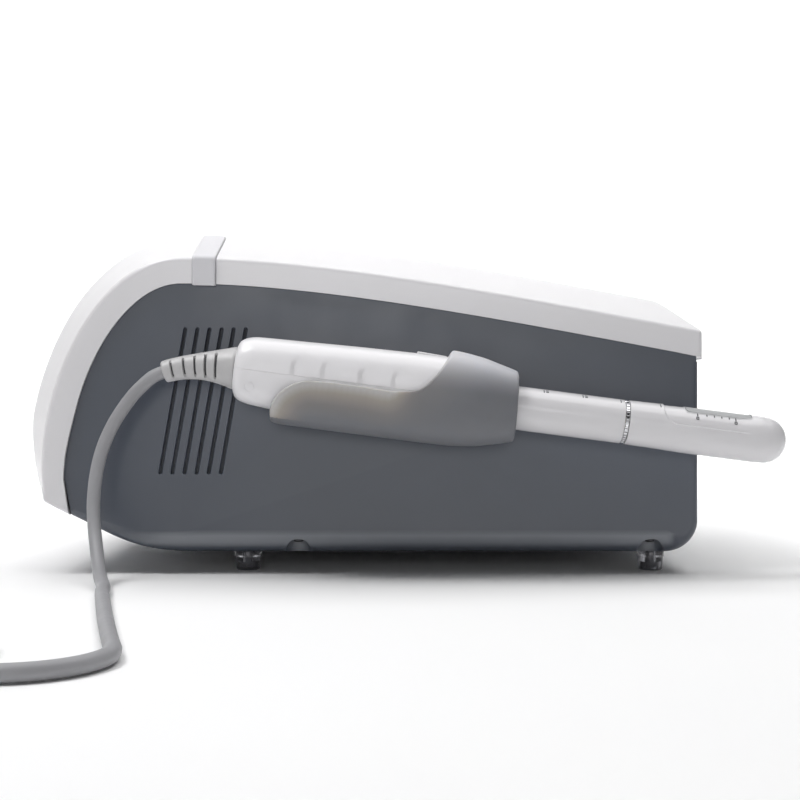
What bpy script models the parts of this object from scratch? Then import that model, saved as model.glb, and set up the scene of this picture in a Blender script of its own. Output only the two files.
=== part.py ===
"""Desktop ultrasound therapy unit with a side-holstered probe handpiece.

Dimensions below are in millimetres; the model is built in metres, +Z up.
+X points to the rear of the unit, -X to the operator's screen, -Y is the side
that carries the holster. The origin is under the centre of the whole unit,
on the surface it stands on.
"""
import math
import bpy
from mathutils import Vector

for o in list(bpy.data.objects):
    bpy.data.objects.remove(o, do_unlink=True)

MM = 0.001

# ---------------------------------------------------------------- dimensions
HALF_W = 155.0            # half width of the lower housing
SKIN = 2.7                # wall of the white covers
GAP = 0.3                 # clearance between neighbours
BAND_OUT = HALF_W + 0.6 + SKIN     # half width over the cover's side band
AXIS_OFF = 27.5           # probe axis, outwards from the housing's side
HOLSTER_OUT = 26.0        # holster front, outwards from the probe axis
MID_Y = (AXIS_OFF + HOLSTER_OUT + HALF_W - BAND_OUT) / 2.0   # centres the unit on Y
NEAR_Y = MID_Y - HALF_W   # holster side of the lower housing
AXIS_Y = NEAR_Y - AXIS_OFF

BASE_Z = 14.0             # underside of the lower housing
REAR_X = 204.0            # rear wall of the lower housing
COVER_REAR_X = 206.0
WALL = 3.0                # lower housing wall
EDGE_R = 16.0             # rounding of the lower long edges
REAR_EDGE_R = 4.0
REAR_CORNER_R = 21.0

# shoulder: the line where the cover's bevel meets its vertical side band
SHOULDER_TOP = ((206.0, 162.4), (90.0, 184.0), (-45.0, 211.0), (-141.0, 211.0))
SHOULDER_FRONT = ((-141.0, 211.0), (-195.4, 211.0), (-238.3, 126.8), (-232.3, 55.4))
LIP_P = (-231.9, 49.0)    # front lower lip, outer and inner end
LIP_Q = (-215.4, 40.4)
BAND_W = 17.0             # height of the side band
BEVEL_IN = 51.0           # how far the bevel runs in from the side
RISE_TOP = 19.2           # plateau above the shoulder, on top
RISE_FRONT = 23.0         # and on the front
REAR_BEVEL = 25.0
FRONT_BEVEL = 50.0
SEAM_X = (-133.0, -117.4)  # the seam band between the two covers

VENTS = 6
VENT_PITCH = 8.07
VENT_TOP = (-138.0, 164.5)
VENT_BOTTOM = (-155.0, 67.2)
VENT_W = 2.1

FEET_X = (-99.5, 177.3)
FOOT_INSET = 30.0
FOOT_R = (8.0, 9.3)
WELL_X = (-63.1, 172.9)
WELL_R = 8.8
WELL_INSET = 9.0
WELL_TOP = BASE_Z + 10.2

# handpiece frame: s along the probe towards its tip, n upwards across it
TILT = math.radians(7.4)
PROBE_REF = (58.6, 114.2)
D = Vector((math.cos(TILT), 0.0, -math.sin(TILT)))
N = Vector((math.sin(TILT), 0.0, math.cos(TILT)))
PROBE_R = 14.15
RING_S = (90.8, 93.2)
TIP_S = 196.8
PART_N = 2.0              # parting plane of the handle shells
HANDLE = (                # s, top, bottom, half depth
    (-161.0, 17.5, -13.5, 15.0), (-159.2, 20.3, -16.6, 18.0), (-155.0, 22.6, -18.9, 20.0),
    (-149.0, 23.8, -20.1, 21.0), (-120.0, 24.8, -22.2, 21.8), (-67.0, 26.4, -24.4, 22.0),
    (-26.0, 27.0, -24.8, 22.0), (-12.0, 24.2, -22.4, 20.6), (2.0, 20.0, -18.8, 18.0),
    (12.0, 16.4, -15.9, 15.8), (18.0, 14.9, -14.9, 14.9))
CARTRIDGE = ((93.5, 14.3), (110.0, 14.6), (135.0, 15.1), (176.0, 15.1), (183.0, 14.7))
DOME_S = 183.0
TREAT_STROKE = 25.0       # transducer travel
SCREW_LEAD = 5.0          # travel for one turn of the drive screw
PULL_OUT = 340.0          # handpiece travel that clears the unit
BUTTON_TRAVEL = 1.2

CORD_D = 8.6
CORD_Z = CORD_D / 2 + 0.15
COIL_C = (-242.0, -425.3)
COIL_R = 51.6
COIL_Z = (1.1, 18.4)


# ------------------------------------------------------------------- helpers
def material(name, rgb, rough=0.45, metal=0.0, alpha=1.0):
    m = bpy.data.materials.new(name)
    m.use_nodes = True
    b = m.node_tree.nodes["Principled BSDF"]
    b.inputs["Base Color"].default_value = (*rgb, 1.0)
    b.inputs["Roughness"].default_value = rough
    b.inputs["Metallic"].default_value = metal
    b.inputs["Alpha"].default_value = alpha
    return m


WHITE = material("white_gloss", (0.86, 0.85, 0.88), 0.22)
WHITE2 = material("white_band", (0.72, 0.72, 0.75), 0.3)
GREY = material("slate_grey", (0.10, 0.105, 0.12), 0.5)
HOLST = material("holster_grey", (0.27, 0.26, 0.27), 0.5)
CLEAR = material("smoky_clear", (0.45, 0.45, 0.47), 0.15, 0.0, 0.6)
GLASS = material("screen_black", (0.01, 0.01, 0.012), 0.05)
STEEL = material("steel", (0.6, 0.6, 0.62), 0.35, 1.0)
CHROME = material("chrome", (0.8, 0.8, 0.82), 0.08, 1.0)
PCB = material("circuit_board", (0.02, 0.16, 0.07), 0.5)
BLACK = material("black_plastic", (0.02, 0.02, 0.022), 0.5)
ALU = material("aluminium", (0.65, 0.66, 0.68), 0.4, 1.0)
CORD = material("cord_grey", (0.21, 0.21, 0.215), 0.6)
FILM = material("membrane", (0.6, 0.62, 0.65), 0.12, 0.0, 0.5)
BRASS = material("brass", (0.7, 0.5, 0.2), 0.35, 1.0)


class Shape:
    """Vertices and faces in millimetres, gathered from closed shells."""

    def __init__(self):
        self.v, self.f = [], []

    def loft(self, rings, close=False):
        base, n, k = len(self.v), len(rings[0]), len(rings)
        for r in rings:
            self.v.extend(Vector(p) for p in r)
        last = k if close else k - 1
        for i in range(last):
            a, b = base + i * n, base + ((i + 1) % k) * n
            for j in range(n):
                self.f.append((a + j, a + (j + 1) % n, b + (j + 1) % n, b + j))
        if not close:
            self.f.append(tuple(base + j for j in range(n))[::-1])
            self.f.append(tuple(base + (k - 1) * n + j for j in range(n)))
        return self

    def box(self, lo, hi):
        x0, y0, z0 = lo
        x1, y1, z1 = hi
        return self.loft([[(x0, y0, z0), (x1, y0, z0), (x1, y1, z0), (x0, y1, z0)],
                          [(x0, y0, z1), (x1, y0, z1), (x1, y1, z1), (x0, y1, z1)]])

    def turned(self, start, along, profile, n=16, side=None):
        """A solid of revolution: profile is (distance along, radius) pairs."""
        a = Vector(along).normalized()
        u = Vector(side) if side else (Vector((0, 1, 0)) if abs(a.y) < 0.9 else Vector((1, 0, 0)))
        u = (u - a * u.dot(a)).normalized()
        w = a.cross(u)
        rings = []
        for t, r in profile:
            c = Vector(start) + a * t
            rings.append([c + (u * math.cos(2 * math.pi * i / n) + w * math.sin(2 * math.pi * i / n)) * r
                          for i in range(n)])
        return self.loft(rings)

    def tube(self, start, along, profile, n=16):
        """A turned ring: profile is a closed loop of (distance along, radius)."""
        a = Vector(along).normalized()
        u = Vector((0, 1, 0)) if abs(a.y) < 0.9 else Vector((1, 0, 0))
        u = (u - a * u.dot(a)).normalized()
        w = a.cross(u)
        rings = []
        for i in range(n):
            q = u * math.cos(2 * math.pi * i / n) + w * math.sin(2 * math.pi * i / n)
            rings.append([Vector(start) + a * t + q * r for t, r in profile])
        return self.loft(rings, close=True)

    def prism(self, outline, y0, y1):
        """Extrude an (x, z) outline along Y."""
        return self.loft([[(x, y0, z) for x, z in outline], [(x, y1, z) for x, z in outline]])

    def make(self, name, mat, origin=(0, 0, 0), smooth=35.0, cutter=False):
        o = Vector(origin)
        me = bpy.data.meshes.new(name)
        me.from_pydata([tuple((p - o) * MM) for p in self.v], [], self.f)
        import bmesh
        bm = bmesh.new()
        bm.from_mesh(me)
        bmesh.ops.recalc_face_normals(bm, faces=bm.faces)
        bm.to_mesh(me)
        bm.free()
        if smooth:
            me.shade_smooth()
            me.set_sharp_from_angle(angle=math.radians(smooth))
        ob = bpy.data.objects.new(name, me)
        ob.location = o * MM
        bpy.context.scene.collection.objects.link(ob)
        if mat:
            me.materials.append(mat)
        if cutter:
            ob.hide_render = True
            ob.display_type = "WIRE"
        return ob


def boolean(ob, other, op="DIFFERENCE"):
    other.hide_render = True
    other.display_type = "WIRE"
    m = ob.modifiers.new(other.name, "BOOLEAN")
    m.operation = op
    m.solver = "EXACT"
    m.object = other
    return ob


def bezier(P, t):
    a, b, c, d = ((1 - t) ** 3, 3 * (1 - t) ** 2 * t, 3 * (1 - t) * t * t, t ** 3)
    return tuple(a * P[0][i] + b * P[1][i] + c * P[2][i] + d * P[3][i] for i in range(2))


def bezier_dir(P, t):
    v = [3 * ((1 - t) ** 2 * (P[1][i] - P[0][i]) + 2 * (1 - t) * t * (P[2][i] - P[1][i])
              + t * t * (P[3][i] - P[2][i])) for i in range(2)]
    q = math.hypot(*v)
    return v[0] / q, v[1] / q


def lerp(table, s, col=1):
    """Straight-line read of a station table."""
    if s <= table[0][0]:
        return table[0][col]
    for a, b in zip(table[:-1], table[1:]):
        if s <= b[0]:
            return a[col] + (b[col] - a[col]) * (s - a[0]) / (b[0] - a[0])
    return table[-1][col]


def smoothstep(a, b, x):
    t = min(max((x - a) / (b - a), 0.0), 1.0)
    return t * t * (3 - 2 * t)


# ------------------------------------------------------- shoulder stations
def raw_shoulder(count=400):
    pts = []
    for i in range(count):
        t = i / count
        p, d = bezier(SHOULDER_TOP, t), bezier_dir(SHOULDER_TOP, t)
        pts.append((p, d))
    for i in range(count + 1):
        t = i / count
        p, d = bezier(SHOULDER_FRONT, t), bezier_dir(SHOULDER_FRONT, t)
        pts.append((p, d))
    out, run = [], 0.0
    for k, (p, d) in enumerate(pts):
        if k:
            run += math.hypot(p[0] - pts[k - 1][0][0], p[1] - pts[k - 1][0][1])
        out.append((run, p, (d[1], -d[0])))
    return out


RAW = raw_shoulder()
RUN = RAW[-1][0]
LIP_RUN = RUN + math.hypot(LIP_P[0] - SHOULDER_FRONT[3][0], LIP_P[1] - SHOULDER_FRONT[3][1])


def station(run):
    """Point on the shoulder and the outward normal there."""
    for a, b in zip(RAW[:-1], RAW[1:]):
        if run <= b[0]:
            f = (run - a[0]) / max(b[0] - a[0], 1e-9)
            p = tuple(a[1][i] + (b[1][i] - a[1][i]) * f for i in range(2))
            n = tuple(a[2][i] + (b[2][i] - a[2][i]) * f for i in range(2))
            q = math.hypot(*n)
            return p, (n[0] / q, n[1] / q)
    return RAW[-1][1], RAW[-1][2]


def run_at_x(x):
    for a, b in zip(RAW[:-1], RAW[1:]):
        if (a[1][0] - x) * (b[1][0] - x) <= 0:
            return a[0] + (b[0] - a[0]) * (a[1][0] - x) / (a[1][0] - b[1][0])
    return None


SEAM_RUN = (run_at_x(SEAM_X[1]), run_at_x(SEAM_X[0]))


def rise(run):
    """Height of the plateau above the shoulder, with the end bevels."""
    h = RISE_TOP + (RISE_FRONT - RISE_TOP) * smoothstep(SEAM_RUN[0], SEAM_RUN[1] + 90.0, run)
    return h


def bevel_part(run):
    return min(run / REAR_BEVEL, (LIP_RUN - run) / FRONT_BEVEL, 1.0)


def band_width(run):
    return BAND_W - 3.0 * smoothstep(RUN - 60.0, RUN - 5.0, run)


def screen_boss(run):
    """Extra wall behind the screen opening."""
    a = SEAM_RUN[1] + 18.0
    return 6.5 * smoothstep(a, a + 12.0, run) * (1 - smoothstep(RUN - 52.0, RUN - 40.0, run))


def section(run, half, top_cut, deep, flat=False, p=None, n=None, wall=0.0):
    """One cross-section of the cover: near foot, shoulder, plateau, shoulder, far foot."""
    if p is None:
        p, n = station(run)
    if flat:
        n = (0.0, 1.0)
    u = max(bevel_part(run), 0.0)
    h = rise(run) * u
    inset = BEVEL_IN * u
    q = wall * 0.55
    rows = ((half, -deep), (half, -top_cut), (half - inset - q, h - top_cut),
            (-(half - inset - q), h - top_cut), (-half, -top_cut), (-half, -deep))
    if u <= 0.0:
        rows = ((half, -deep), (half, -top_cut), (half * 0.72, -top_cut),
                (-half * 0.72, -top_cut), (-half, -top_cut), (-half, -deep))
    return [(p[0] + n[0] * k, MID_Y - y, p[1] + n[1] * k) for y, k in rows]


def spaced(a, b, step):
    c = max(1, round((b - a) / step))
    return [a + (b - a) * i / c for i in range(c + 1)]


# ------------------------------------------------------------ white covers
def end_wall(x, half, top, bottom, u=0.0):
    rows = ((half, bottom), (half, top), (half * 0.72, top), (-half * 0.72, top), (-half, top), (-half, bottom))
    return [(x, MID_Y - y, z) for y, z in rows]


# rear top cover
outer = [end_wall(COVER_REAR_X, BAND_OUT, SHOULDER_TOP[0][1], SHOULDER_TOP[0][1] - 20.5)]
for r in [8.0, 16.0, REAR_BEVEL] + spaced(REAR_BEVEL, SEAM_RUN[0] - 0.3, 34.0)[1:]:
    outer.append(section(r, BAND_OUT, 0.0, BAND_W, flat=abs(r - SEAM_RUN[0]) < 1.0))
top_cover = Shape().loft(outer).make("rear_top_cover", WHITE)
ih = BAND_OUT - SKIN
inner = []
q = section(8.0, ih, SKIN, 40.0, wall=SKIN)
zt = SHOULDER_TOP[0][1] - SKIN - 0.2
inner.append([(COVER_REAR_X - SKIN, MID_Y - y, z) for y, z in
              ((ih, 100.0), (ih, zt), (ih * 0.72, zt), (-ih * 0.72, zt), (-ih, zt), (-ih, 100.0))])
for r in [8.0, 16.0, REAR_BEVEL] + spaced(REAR_BEVEL, SEAM_RUN[0] + 12.0, 34.0)[1:]:
    inner.append(section(r, ih, SKIN, 40.0, wall=SKIN))
cut = Shape().loft(inner).make("cut_rear_cover", None, cutter=True)
boolean(top_cover, cut)

# front bezel
outer = []
for r in [SEAM_RUN[1] + 0.3] + spaced(SEAM_RUN[1] + 9.0, LIP_RUN - FRONT_BEVEL, 11.0) + [LIP_RUN - 30.0, LIP_RUN - 14.0]:
    outer.append(section(r, BAND_OUT, 0.0, band_width(r), flat=r < SEAM_RUN[1] + 1.0))
ln = math.hypot(LIP_Q[0] - LIP_P[0], LIP_Q[1] - LIP_P[1])
lip_n = ((LIP_P[0] - LIP_Q[0]) / ln, (LIP_P[1] - LIP_Q[1]) / ln)
outer.append(section(LIP_RUN, BAND_OUT, 0.0, ln, p=LIP_P, n=lip_n))
bezel = Shape().loft(outer).make("front_bezel", WHITE)
inner = []
for r in [SEAM_RUN[1] - 12.0] + spaced(SEAM_RUN[1] + 9.0, LIP_RUN - FRONT_BEVEL, 11.0) + [LIP_RUN - 30.0, LIP_RUN - 14.0]:
    inner.append(section(r, ih, SKIN + screen_boss(r), 45.0, wall=SKIN))
lift = 3.2
inner.append(section(LIP_RUN, ih, SKIN, 30.0, p=(LIP_P[0] + lip_n[1] * 0 - 0.2, LIP_P[1] + lift), n=lip_n))
cut = Shape().loft(inner).make("cut_front_bezel", None, cutter=True)
boolean(bezel, cut)

# seam band over the joint
sx = (SEAM_X[0], SEAM_X[1])
rings = []
PROUD = 2.1


def seam_ring(run, x):
    """Closed outline of the band across the unit at x: outside, then inside back."""
    p, _ = station(run)
    h, hw = rise(run), BAND_OUT
    out = ((hw + PROUD, -BAND_W - 1.2), (hw + PROUD, 1.0), (hw - BEVEL_IN + 0.4, h + PROUD),
           (-(hw - BEVEL_IN + 0.4), h + PROUD), (-(hw + PROUD), 1.0), (-(hw + PROUD), -BAND_W - 1.2))
    ins = ((-(hw - SKIN), -BAND_W - 1.2), (-(hw - SKIN), -SKIN), (-(hw - BEVEL_IN - 1.5), h - SKIN),
           (hw - BEVEL_IN - 1.5, h - SKIN), (hw - SKIN, -SKIN), (hw - SKIN, -BAND_W - 1.2))
    return [(x, MID_Y - y, p[1] + k) for y, k in out + ins]


for i in range(3):
    x = sx[1] + (sx[0] - sx[1]) * i / 2
    rings.append(seam_ring(run_at_x(x), x))
Shape().loft(rings).make("seam_band", WHITE2)

# screen opening, glass and display stack
SCREEN_TOP = (-212.7, 194.1)
SCREEN_BOT = (-250.6, 112.0)
sl = math.hypot(SCREEN_TOP[0] - SCREEN_BOT[0], SCREEN_TOP[1] - SCREEN_BOT[1])
SU = Vector(((SCREEN_TOP[0] - SCREEN_BOT[0]) / sl, 0, (SCREEN_TOP[1] - SCREEN_BOT[1]) / sl))   # up the screen
SN = Vector((-SU.z, 0, SU.x))                                                               # out of the screen
SC = Vector(((SCREEN_TOP[0] + SCREEN_BOT[0]) / 2, MID_Y, (SCREEN_TOP[1] + SCREEN_BOT[1]) / 2))


def slab(shape, wide, high, n0, n1, du=0.0, dy=0.0, corner=0.0, seg=3):
    pts = []
    if corner:
        for cx, cy, a0 in ((1, 1, 0), (-1, 1, 90), (-1, -1, 180), (1, -1, 270)):
            for i in range(seg + 1):
                a = math.radians(a0 + 90.0 * i / seg)
                pts.append((cx * (wide / 2 - corner) + corner * math.cos(a), cy * (high / 2 - corner) + corner * math.sin(a)))
    else:
        pts = [(wide / 2, high / 2), (-wide / 2, high / 2), (-wide / 2, -high / 2), (wide / 2, -high / 2)]
    rings = []
    for n in (n0, n1):
        rings.append([SC + Vector((0, 1, 0)) * (a + dy) + SU * (b + du) + SN * n for a, b in pts])
    return shape.loft(rings)


cut = slab(Shape(), 172.0, 80.0, -30.0, 20.0, corner=3.0).make("cut_screen", None, cutter=True)
boolean(bezel, cut)
slab(Shape(), 171.2, 79.2, -3.0, -1.2, corner=2.7).make("touchscreen_glass", GLASS)
slab(Shape(), 166.0, 75.0, -10.0, -3.4).make("display_module", BLACK)
mb = slab(Shape(), 150.0, 72.0, -16.6, -15.0)
mb.make("main_board", PCB)
slab(Shape(), 28.0, 28.0, -20.0, -16.9, 8.0, 20.0).make("processor_heat_spreader", ALU, smooth=0)


# --------------------------------------------------------- lower housing
def bottom_path():
    """Rear wall top, down, round the corner, along the base and up the chin; with each point's edge radius."""
    pts = [((REAR_X, 142.0), (1, 0), REAR_EDGE_R), ((REAR_X, 90.0), (1, 0), REAR_EDGE_R)]
    cx, cz = REAR_X - REAR_CORNER_R, BASE_Z + REAR_CORNER_R
    for i in range(7):
        a = math.radians(-90.0 * i / 6)
        pts.append(((cx + REAR_CORNER_R * math.cos(a), cz + REAR_CORNER_R * math.sin(a)),
                    (math.cos(a), math.sin(a)), REAR_EDGE_R + (EDGE_R - REAR_EDGE_R) * i / 6))
    for x in (60.0, -60.0):
        pts.append(((x, BASE_Z), (0, -1), EDGE_R))
    chin = ((-130.0, BASE_Z), (-175.0, BASE_Z), (-186.0, 25.5), (-214.5, 39.4))
    for i in range(8):
        t = i / 7
        p, d = bezier(chin, t), bezier_dir(chin, t)
        pts.append((p, (d[1], -d[0]) if d[1] < 0 else (-abs(d[1]), -abs(d[0])), EDGE_R - (EDGE_R - 5.0) * t))
    return pts


def top_path():
    """Front lip up and back to the rear tongue, inside the cover's skirt."""
    pts = [(-214.6, 41.8)]
    for r in [RUN - 6.0, RUN - 22.0] + [RUN - 22.0 - k for k in (16, 34, 54, 76, 100, 126, 154)] + spaced(SEAM_RUN[0], 30.0, -60.0):
        p, n = station(r)
        off = band_width(r) - 4.0
        if r > RUN - 8.0:
            off = band_width(r) + 0.5
        pts.append((p[0] - n[0] * off, p[1] - n[1] * off))
    pts += [(REAR_X - 1.4, 151.0), (REAR_X - 1.4, 142.0)]
    return pts


def tub_rings():
    out = []
    for a in (90, 67, 45, 22, 0):
        t = math.radians(a)
        ring = []
        for x, z in top_path():
            ring.append((x, MID_Y - HALF_W + 0.5 * (1 - math.sin(t)), z))
        for (x, z), (nx, nz), e in bottom_path():
            off = e * (1 - math.cos(t))
            ring.append((x - nx * off, MID_Y - HALF_W + e * (1 - math.sin(t)), z - nz * off))
        out.append(ring)
    far = [[(x, 2 * MID_Y - y, z) for x, y, z in r] for r in out]
    return out + far[::-1]


tub = Shape().loft(tub_rings()).make("lower_housing", GREY)


def inner_outline():
    """Inside of the housing seen from the side, running out through the open top."""
    pts = [(-150.0, 330.0), (-300.0, 250.0), (-300.0, 60.0), (-232.0, 44.5)]
    for (x, z), (nx, nz), e in bottom_path()[::-1]:
        w = WALL
        pts.append((x - nx * w, z - nz * w))
    pts[-1] = (REAR_X - WALL, 142.0)
    pts += [(REAR_X - WALL - 0.2, 170.0), (REAR_X - WALL - 0.2, 330.0)]
    return pts


cavity = Shape()
ys = HALF_W - WALL
cavity.prism(inner_outline(), MID_Y - ys, MID_Y + ys)
cav = cavity.make("cut_cavity", None, cutter=True, smooth=0)
# keep material along the rounded lower edges and round the screw wells
keep = Shape()
for sgn in (-1, 1):
    y_side = MID_Y + sgn * HALF_W
    rows = [(y_side + sgn * 2.0, 0.0), (y_side - sgn * (EDGE_R + 0.5), 0.0), (y_side - sgn * (EDGE_R + 0.5), BASE_Z + WALL),
            (y_side - sgn * (EDGE_R - 5.5), BASE_Z + WALL + 1.6), (y_side - sgn * (WALL + 1.6), BASE_Z + EDGE_R - 5.5),
            (y_side - sgn * WALL, BASE_Z + EDGE_R + 1.0), (y_side + sgn * 2.0, BASE_Z + EDGE_R + 1.0)]
    keep.loft([[(-185.0, y, z + (12.0 if z > 0 else 0.0)) for y, z in rows], [(-150.0, y, z) for y, z in rows], [(REAR_X - 8.0, y, z) for y, z in rows]])
keep_ob = keep.make("cut_keep_edges", None, cutter=True, smooth=0)
boolean(cav, keep_ob)
bosses = Shape()
for wx in WELL_X:
    for sgn in (-1, 1):
        bosses.turned((wx, MID_Y + sgn * (HALF_W - WELL_INSET), 0.0), (0, 0, 1), [(0.0, 12.0), (WELL_TOP + 6.0, 12.0)], 16)
boss_ob = bosses.make("cut_bosses", None, cutter=True, smooth=0)
boolean(cav, boss_ob)
boolean(tub, cav)

# vents, wells, fixings and the rear opening
slots = Shape()
for side in (-1, 1):
    y0 = MID_Y + side * (HALF_W - 8.0)
    y1 = MID_Y + side * (HALF_W + 5.0)
    for i in range(VENTS):
        tx, tz = VENT_TOP[0] + VENT_PITCH * i, VENT_TOP[1]
        bx, bz = VENT_BOTTOM[0] + VENT_PITCH * i, VENT_BOTTOM[1]
        ln = math.hypot(tx - bx, tz - bz)
        ux, uz = (tx - bx) / ln, (tz - bz) / ln
        r = VENT_W / 2
        outline = []
        for cx, cz, a0 in ((tx - ux * r, tz - uz * r, 0.0), (bx + ux * r, bz + uz * r, math.pi)):
            for k in range(4):
                a = a0 + math.pi * k / 3
                outline.append((cx + r * (math.cos(a) * uz + math.sin(a) * ux), cz + r * (-math.cos(a) * ux + math.sin(a) * uz)))
        slots.prism(outline, y0, y1)
boolean(tub, slots.make("cut_vents", None, cutter=True, smooth=0))

wells = Shape()
for wx in WELL_X:
    for sgn in (-1, 1):
        wells.turned((wx, MID_Y + sgn * (HALF_W - WELL_INSET), 5.0), (0, 0, 1),
                     [(0.0, WELL_R), (WELL_TOP - 5.0, WELL_R), (WELL_TOP - 5.0 + 0.001, 1.7), (WELL_TOP - 5.0 + 4.5, 1.7)], 20)
for fx in FEET_X:
    for sgn in (-1, 1):
        wells.turned((fx, MID_Y + sgn * (HALF_W - FOOT_INSET), 5.0), (0, 0, 1), [(0.0, 2.4), (20.0, 2.4)], 12)
HOLSTER_SCREWS = ((-100.0, -8.0), (-30.0, -8.0))      # along the probe, up from its axis


def on_probe(s, y=0.0, n=0.0):
    v = D * s + N * n
    return Vector((PROBE_REF[0] + v.x, AXIS_Y + y, PROBE_REF[1] + v.z))


for s, n in HOLSTER_SCREWS:
    p = on_probe(s, 0, n)
    wells.turned((p.x, NEAR_Y - 4.0, p.z), (0, 1, 0), [(0.0, 2.2), (10.0, 2.2)], 12)
PANEL = (MID_Y - 112.0, MID_Y + 112.0, 50.0, 131.0)
wells.box((REAR_X - 6.0, PANEL[0], PANEL[2]), (REAR_X + 6.0, PANEL[1], PANEL[3]))
boolean(tub, wells.make("cut_fixings", None, cutter=True, smooth=0))

# feet and their screws, housing screws
k = 0
for sgn, side in ((-1, "near"), (1, "far")):
    for fx, end in zip(FEET_X, ("front", "rear")):
        k += 1
        fy = MID_Y + sgn * (HALF_W - FOOT_INSET)
        top = BASE_Z - GAP
        Shape().tube((fx, fy, 0), (0, 0, 1), [(0.0, 5.2), (0.0, FOOT_R[0] - 0.6), (0.6, FOOT_R[0]), (top, FOOT_R[1]), (top, 2.3), (6.0, 2.3), (6.0, 5.2)], 20).make(
            f"foot_{end}_{side}", CLEAR)
        Shape().turned((fx, fy, 0), (0, 0, 1), [(2.6, 3.9), (3.2, 4.6), (5.7, 4.6), (5.701, 1.9), (20.5, 1.9)], 12).make(
            f"foot_screw_{k}", STEEL)
k = 0
for wx in WELL_X:
    for sgn in (-1, 1):
        k += 1
        Shape().turned((wx, MID_Y + sgn * (HALF_W - WELL_INSET), WELL_TOP), (0, 0, 1),
                       [(-3.2, 2.9), (-2.8, 3.5), (-0.3, 3.5), (-0.299, 1.4), (4.2, 1.4)], 10).make(f"housing_screw_{k}", STEEL)

# --------------------------------------------------------- inside the housing
plate = Shape().box((-110.0, MID_Y - 128.0, 22.0), (170.0, MID_Y + 128.0, 23.5)).make("chassis_plate", ALU, smooth=0)
legs = Shape()                 # pressed-in legs below the plate and board pillars above it
for x in (-92.0, 150.0):
    for y in (-110.0, 110.0):
        legs.turned((x, MID_Y + y, BASE_Z + WALL + GAP), (0, 0, 1), [(0.0, 4.0), (5.5, 4.0)], 8)
for x in (-80.0, 80.0):
    for y in (-101.0, -19.0):
        legs.turned((x, MID_Y + y, 23.0), (0, 0, 1), [(0.0, 3.0), (6.7, 3.0)], 8)
boolean(plate, legs.make("add_legs", None, cutter=True, smooth=0), "UNION")
psu = Shape().box((30.0, MID_Y + 10.0, 23.9), (165.0, MID_Y + 110.0, 66.0)).make("power_supply", STEEL, smooth=0)
b = psu.modifiers.new("edges", "BEVEL")
b.width, b.segments, b.limit_method = 0.0015, 1, "ANGLE"
Shape().box((-95.0, MID_Y - 112.0, 30.0), (95.0, MID_Y - 8.0, 31.6)).make("driver_board", PCB, smooth=0)
fins = Shape().box((-20.0, MID_Y - 100.0, 31.9), (60.0, MID_Y - 30.0, 36.0)).make("heat_sink", ALU, smooth=0)
comb = Shape()
for i in range(8):
    y = MID_Y - 99.0 + i * 9.7
    comb.box((-20.0, y - 0.95, 35.0), (60.0, y + 0.95, 58.0))
boolean(fins, comb.make("add_fins", None, cutter=True, smooth=0), "UNION")
Shape().box((-80.0, MID_Y - 90.0, 31.9), (-50.0, MID_Y - 55.0, 52.0)).make("output_transformer", BLACK, smooth=0)
Shape().turned((-60.0, MID_Y + 60.0, 23.9), (0, 0, 1), [(0.0, 26.0), (4.0, 28.0), (5.0, 28.0), (16.0, 16.0), (26.0, 16.0)], 20).make("speaker", BLACK)

# rear panel with its cut-outs
PX = REAR_X - WALL - GAP
panel = Shape().box((PX - 1.8, MID_Y - 118.0, 45.0), (PX, MID_Y + 118.0, 138.0)).make("rear_panel", BLACK, smooth=0)
INLET = (MID_Y + 78.0, 72.0)
SWITCH = (MID_Y + 78.0, 108.0)
SOCKET = (MID_Y + 22.0, 80.0)
FAN = (MID_Y - 58.0, 90.5)
holes = Shape()
holes.box((PX - 5, INLET[0] - 14.0, INLET[1] - 10.3), (PX + 5, INLET[0] + 14.0, INLET[1] + 10.3))
holes.box((PX - 5, SWITCH[0] - 11.0, SWITCH[1] - 7.0), (PX + 5, SWITCH[0] + 11.0, SWITCH[1] + 7.0))
holes.turned((PX - 5, SOCKET[0], SOCKET[1]), (1, 0, 0), [(0.0, 9.4), (10.0, 9.4)], 20)
for i in range(-4, 5):
    y = FAN[0] + i * 8.0
    hgt = math.sqrt(max(37.0 ** 2 - (i * 8.0) ** 2, 0.0))
    holes.box((PX - 5, y - 2.6, FAN[1] - hgt), (PX + 5, y + 2.6, FAN[1] + hgt))
boolean(panel, holes.make("cut_panel", None, cutter=True, smooth=0))
k = 0
for y in (-106.0, 106.0):
    for z in (56.0, 125.0):
        k += 1
        Shape().turned((PX + GAP, MID_Y + y, z), (1, 0, 0), [(0.0, 3.2), (1.4, 3.2), (2.0, 2.4)], 10).make(f"panel_screw_{k}", STEEL)

# mains inlet: a shell with three short blades
inlet = Shape().box((PX - 24.0, INLET[0] - 13.6, INLET[1] - 9.9), (PX + 0.5, INLET[0] + 13.6, INLET[1] + 9.9)).make("mains_inlet", BLACK, smooth=0)
boolean(inlet, Shape().box((PX + GAP, INLET[0] - 15.5, INLET[1] - 11.8), (PX + 2.3, INLET[0] + 15.5, INLET[1] + 11.8)).make("add_flange", None, cutter=True, smooth=0), "UNION")
boolean(inlet, Shape().box((PX - 15.0, INLET[0] - 11.8, INLET[1] - 7.9), (PX + 9.0, INLET[0] + 11.8, INLET[1] + 7.9)).make("cut_inlet", None, cutter=True, smooth=0))
blades = Shape()
for dy, dz in ((-7.0, -1.0), (0.0, 3.0), (7.0, -1.0)):
    blades.box((PX - 17.0, INLET[0] + dy - 1.0, INLET[1] + dz - 2.0), (PX - 4.5, INLET[0] + dy + 1.0, INLET[1] + dz + 2.0))
boolean(inlet, blades.make("add_blades", None, cutter=True, smooth=0), "UNION")

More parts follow.
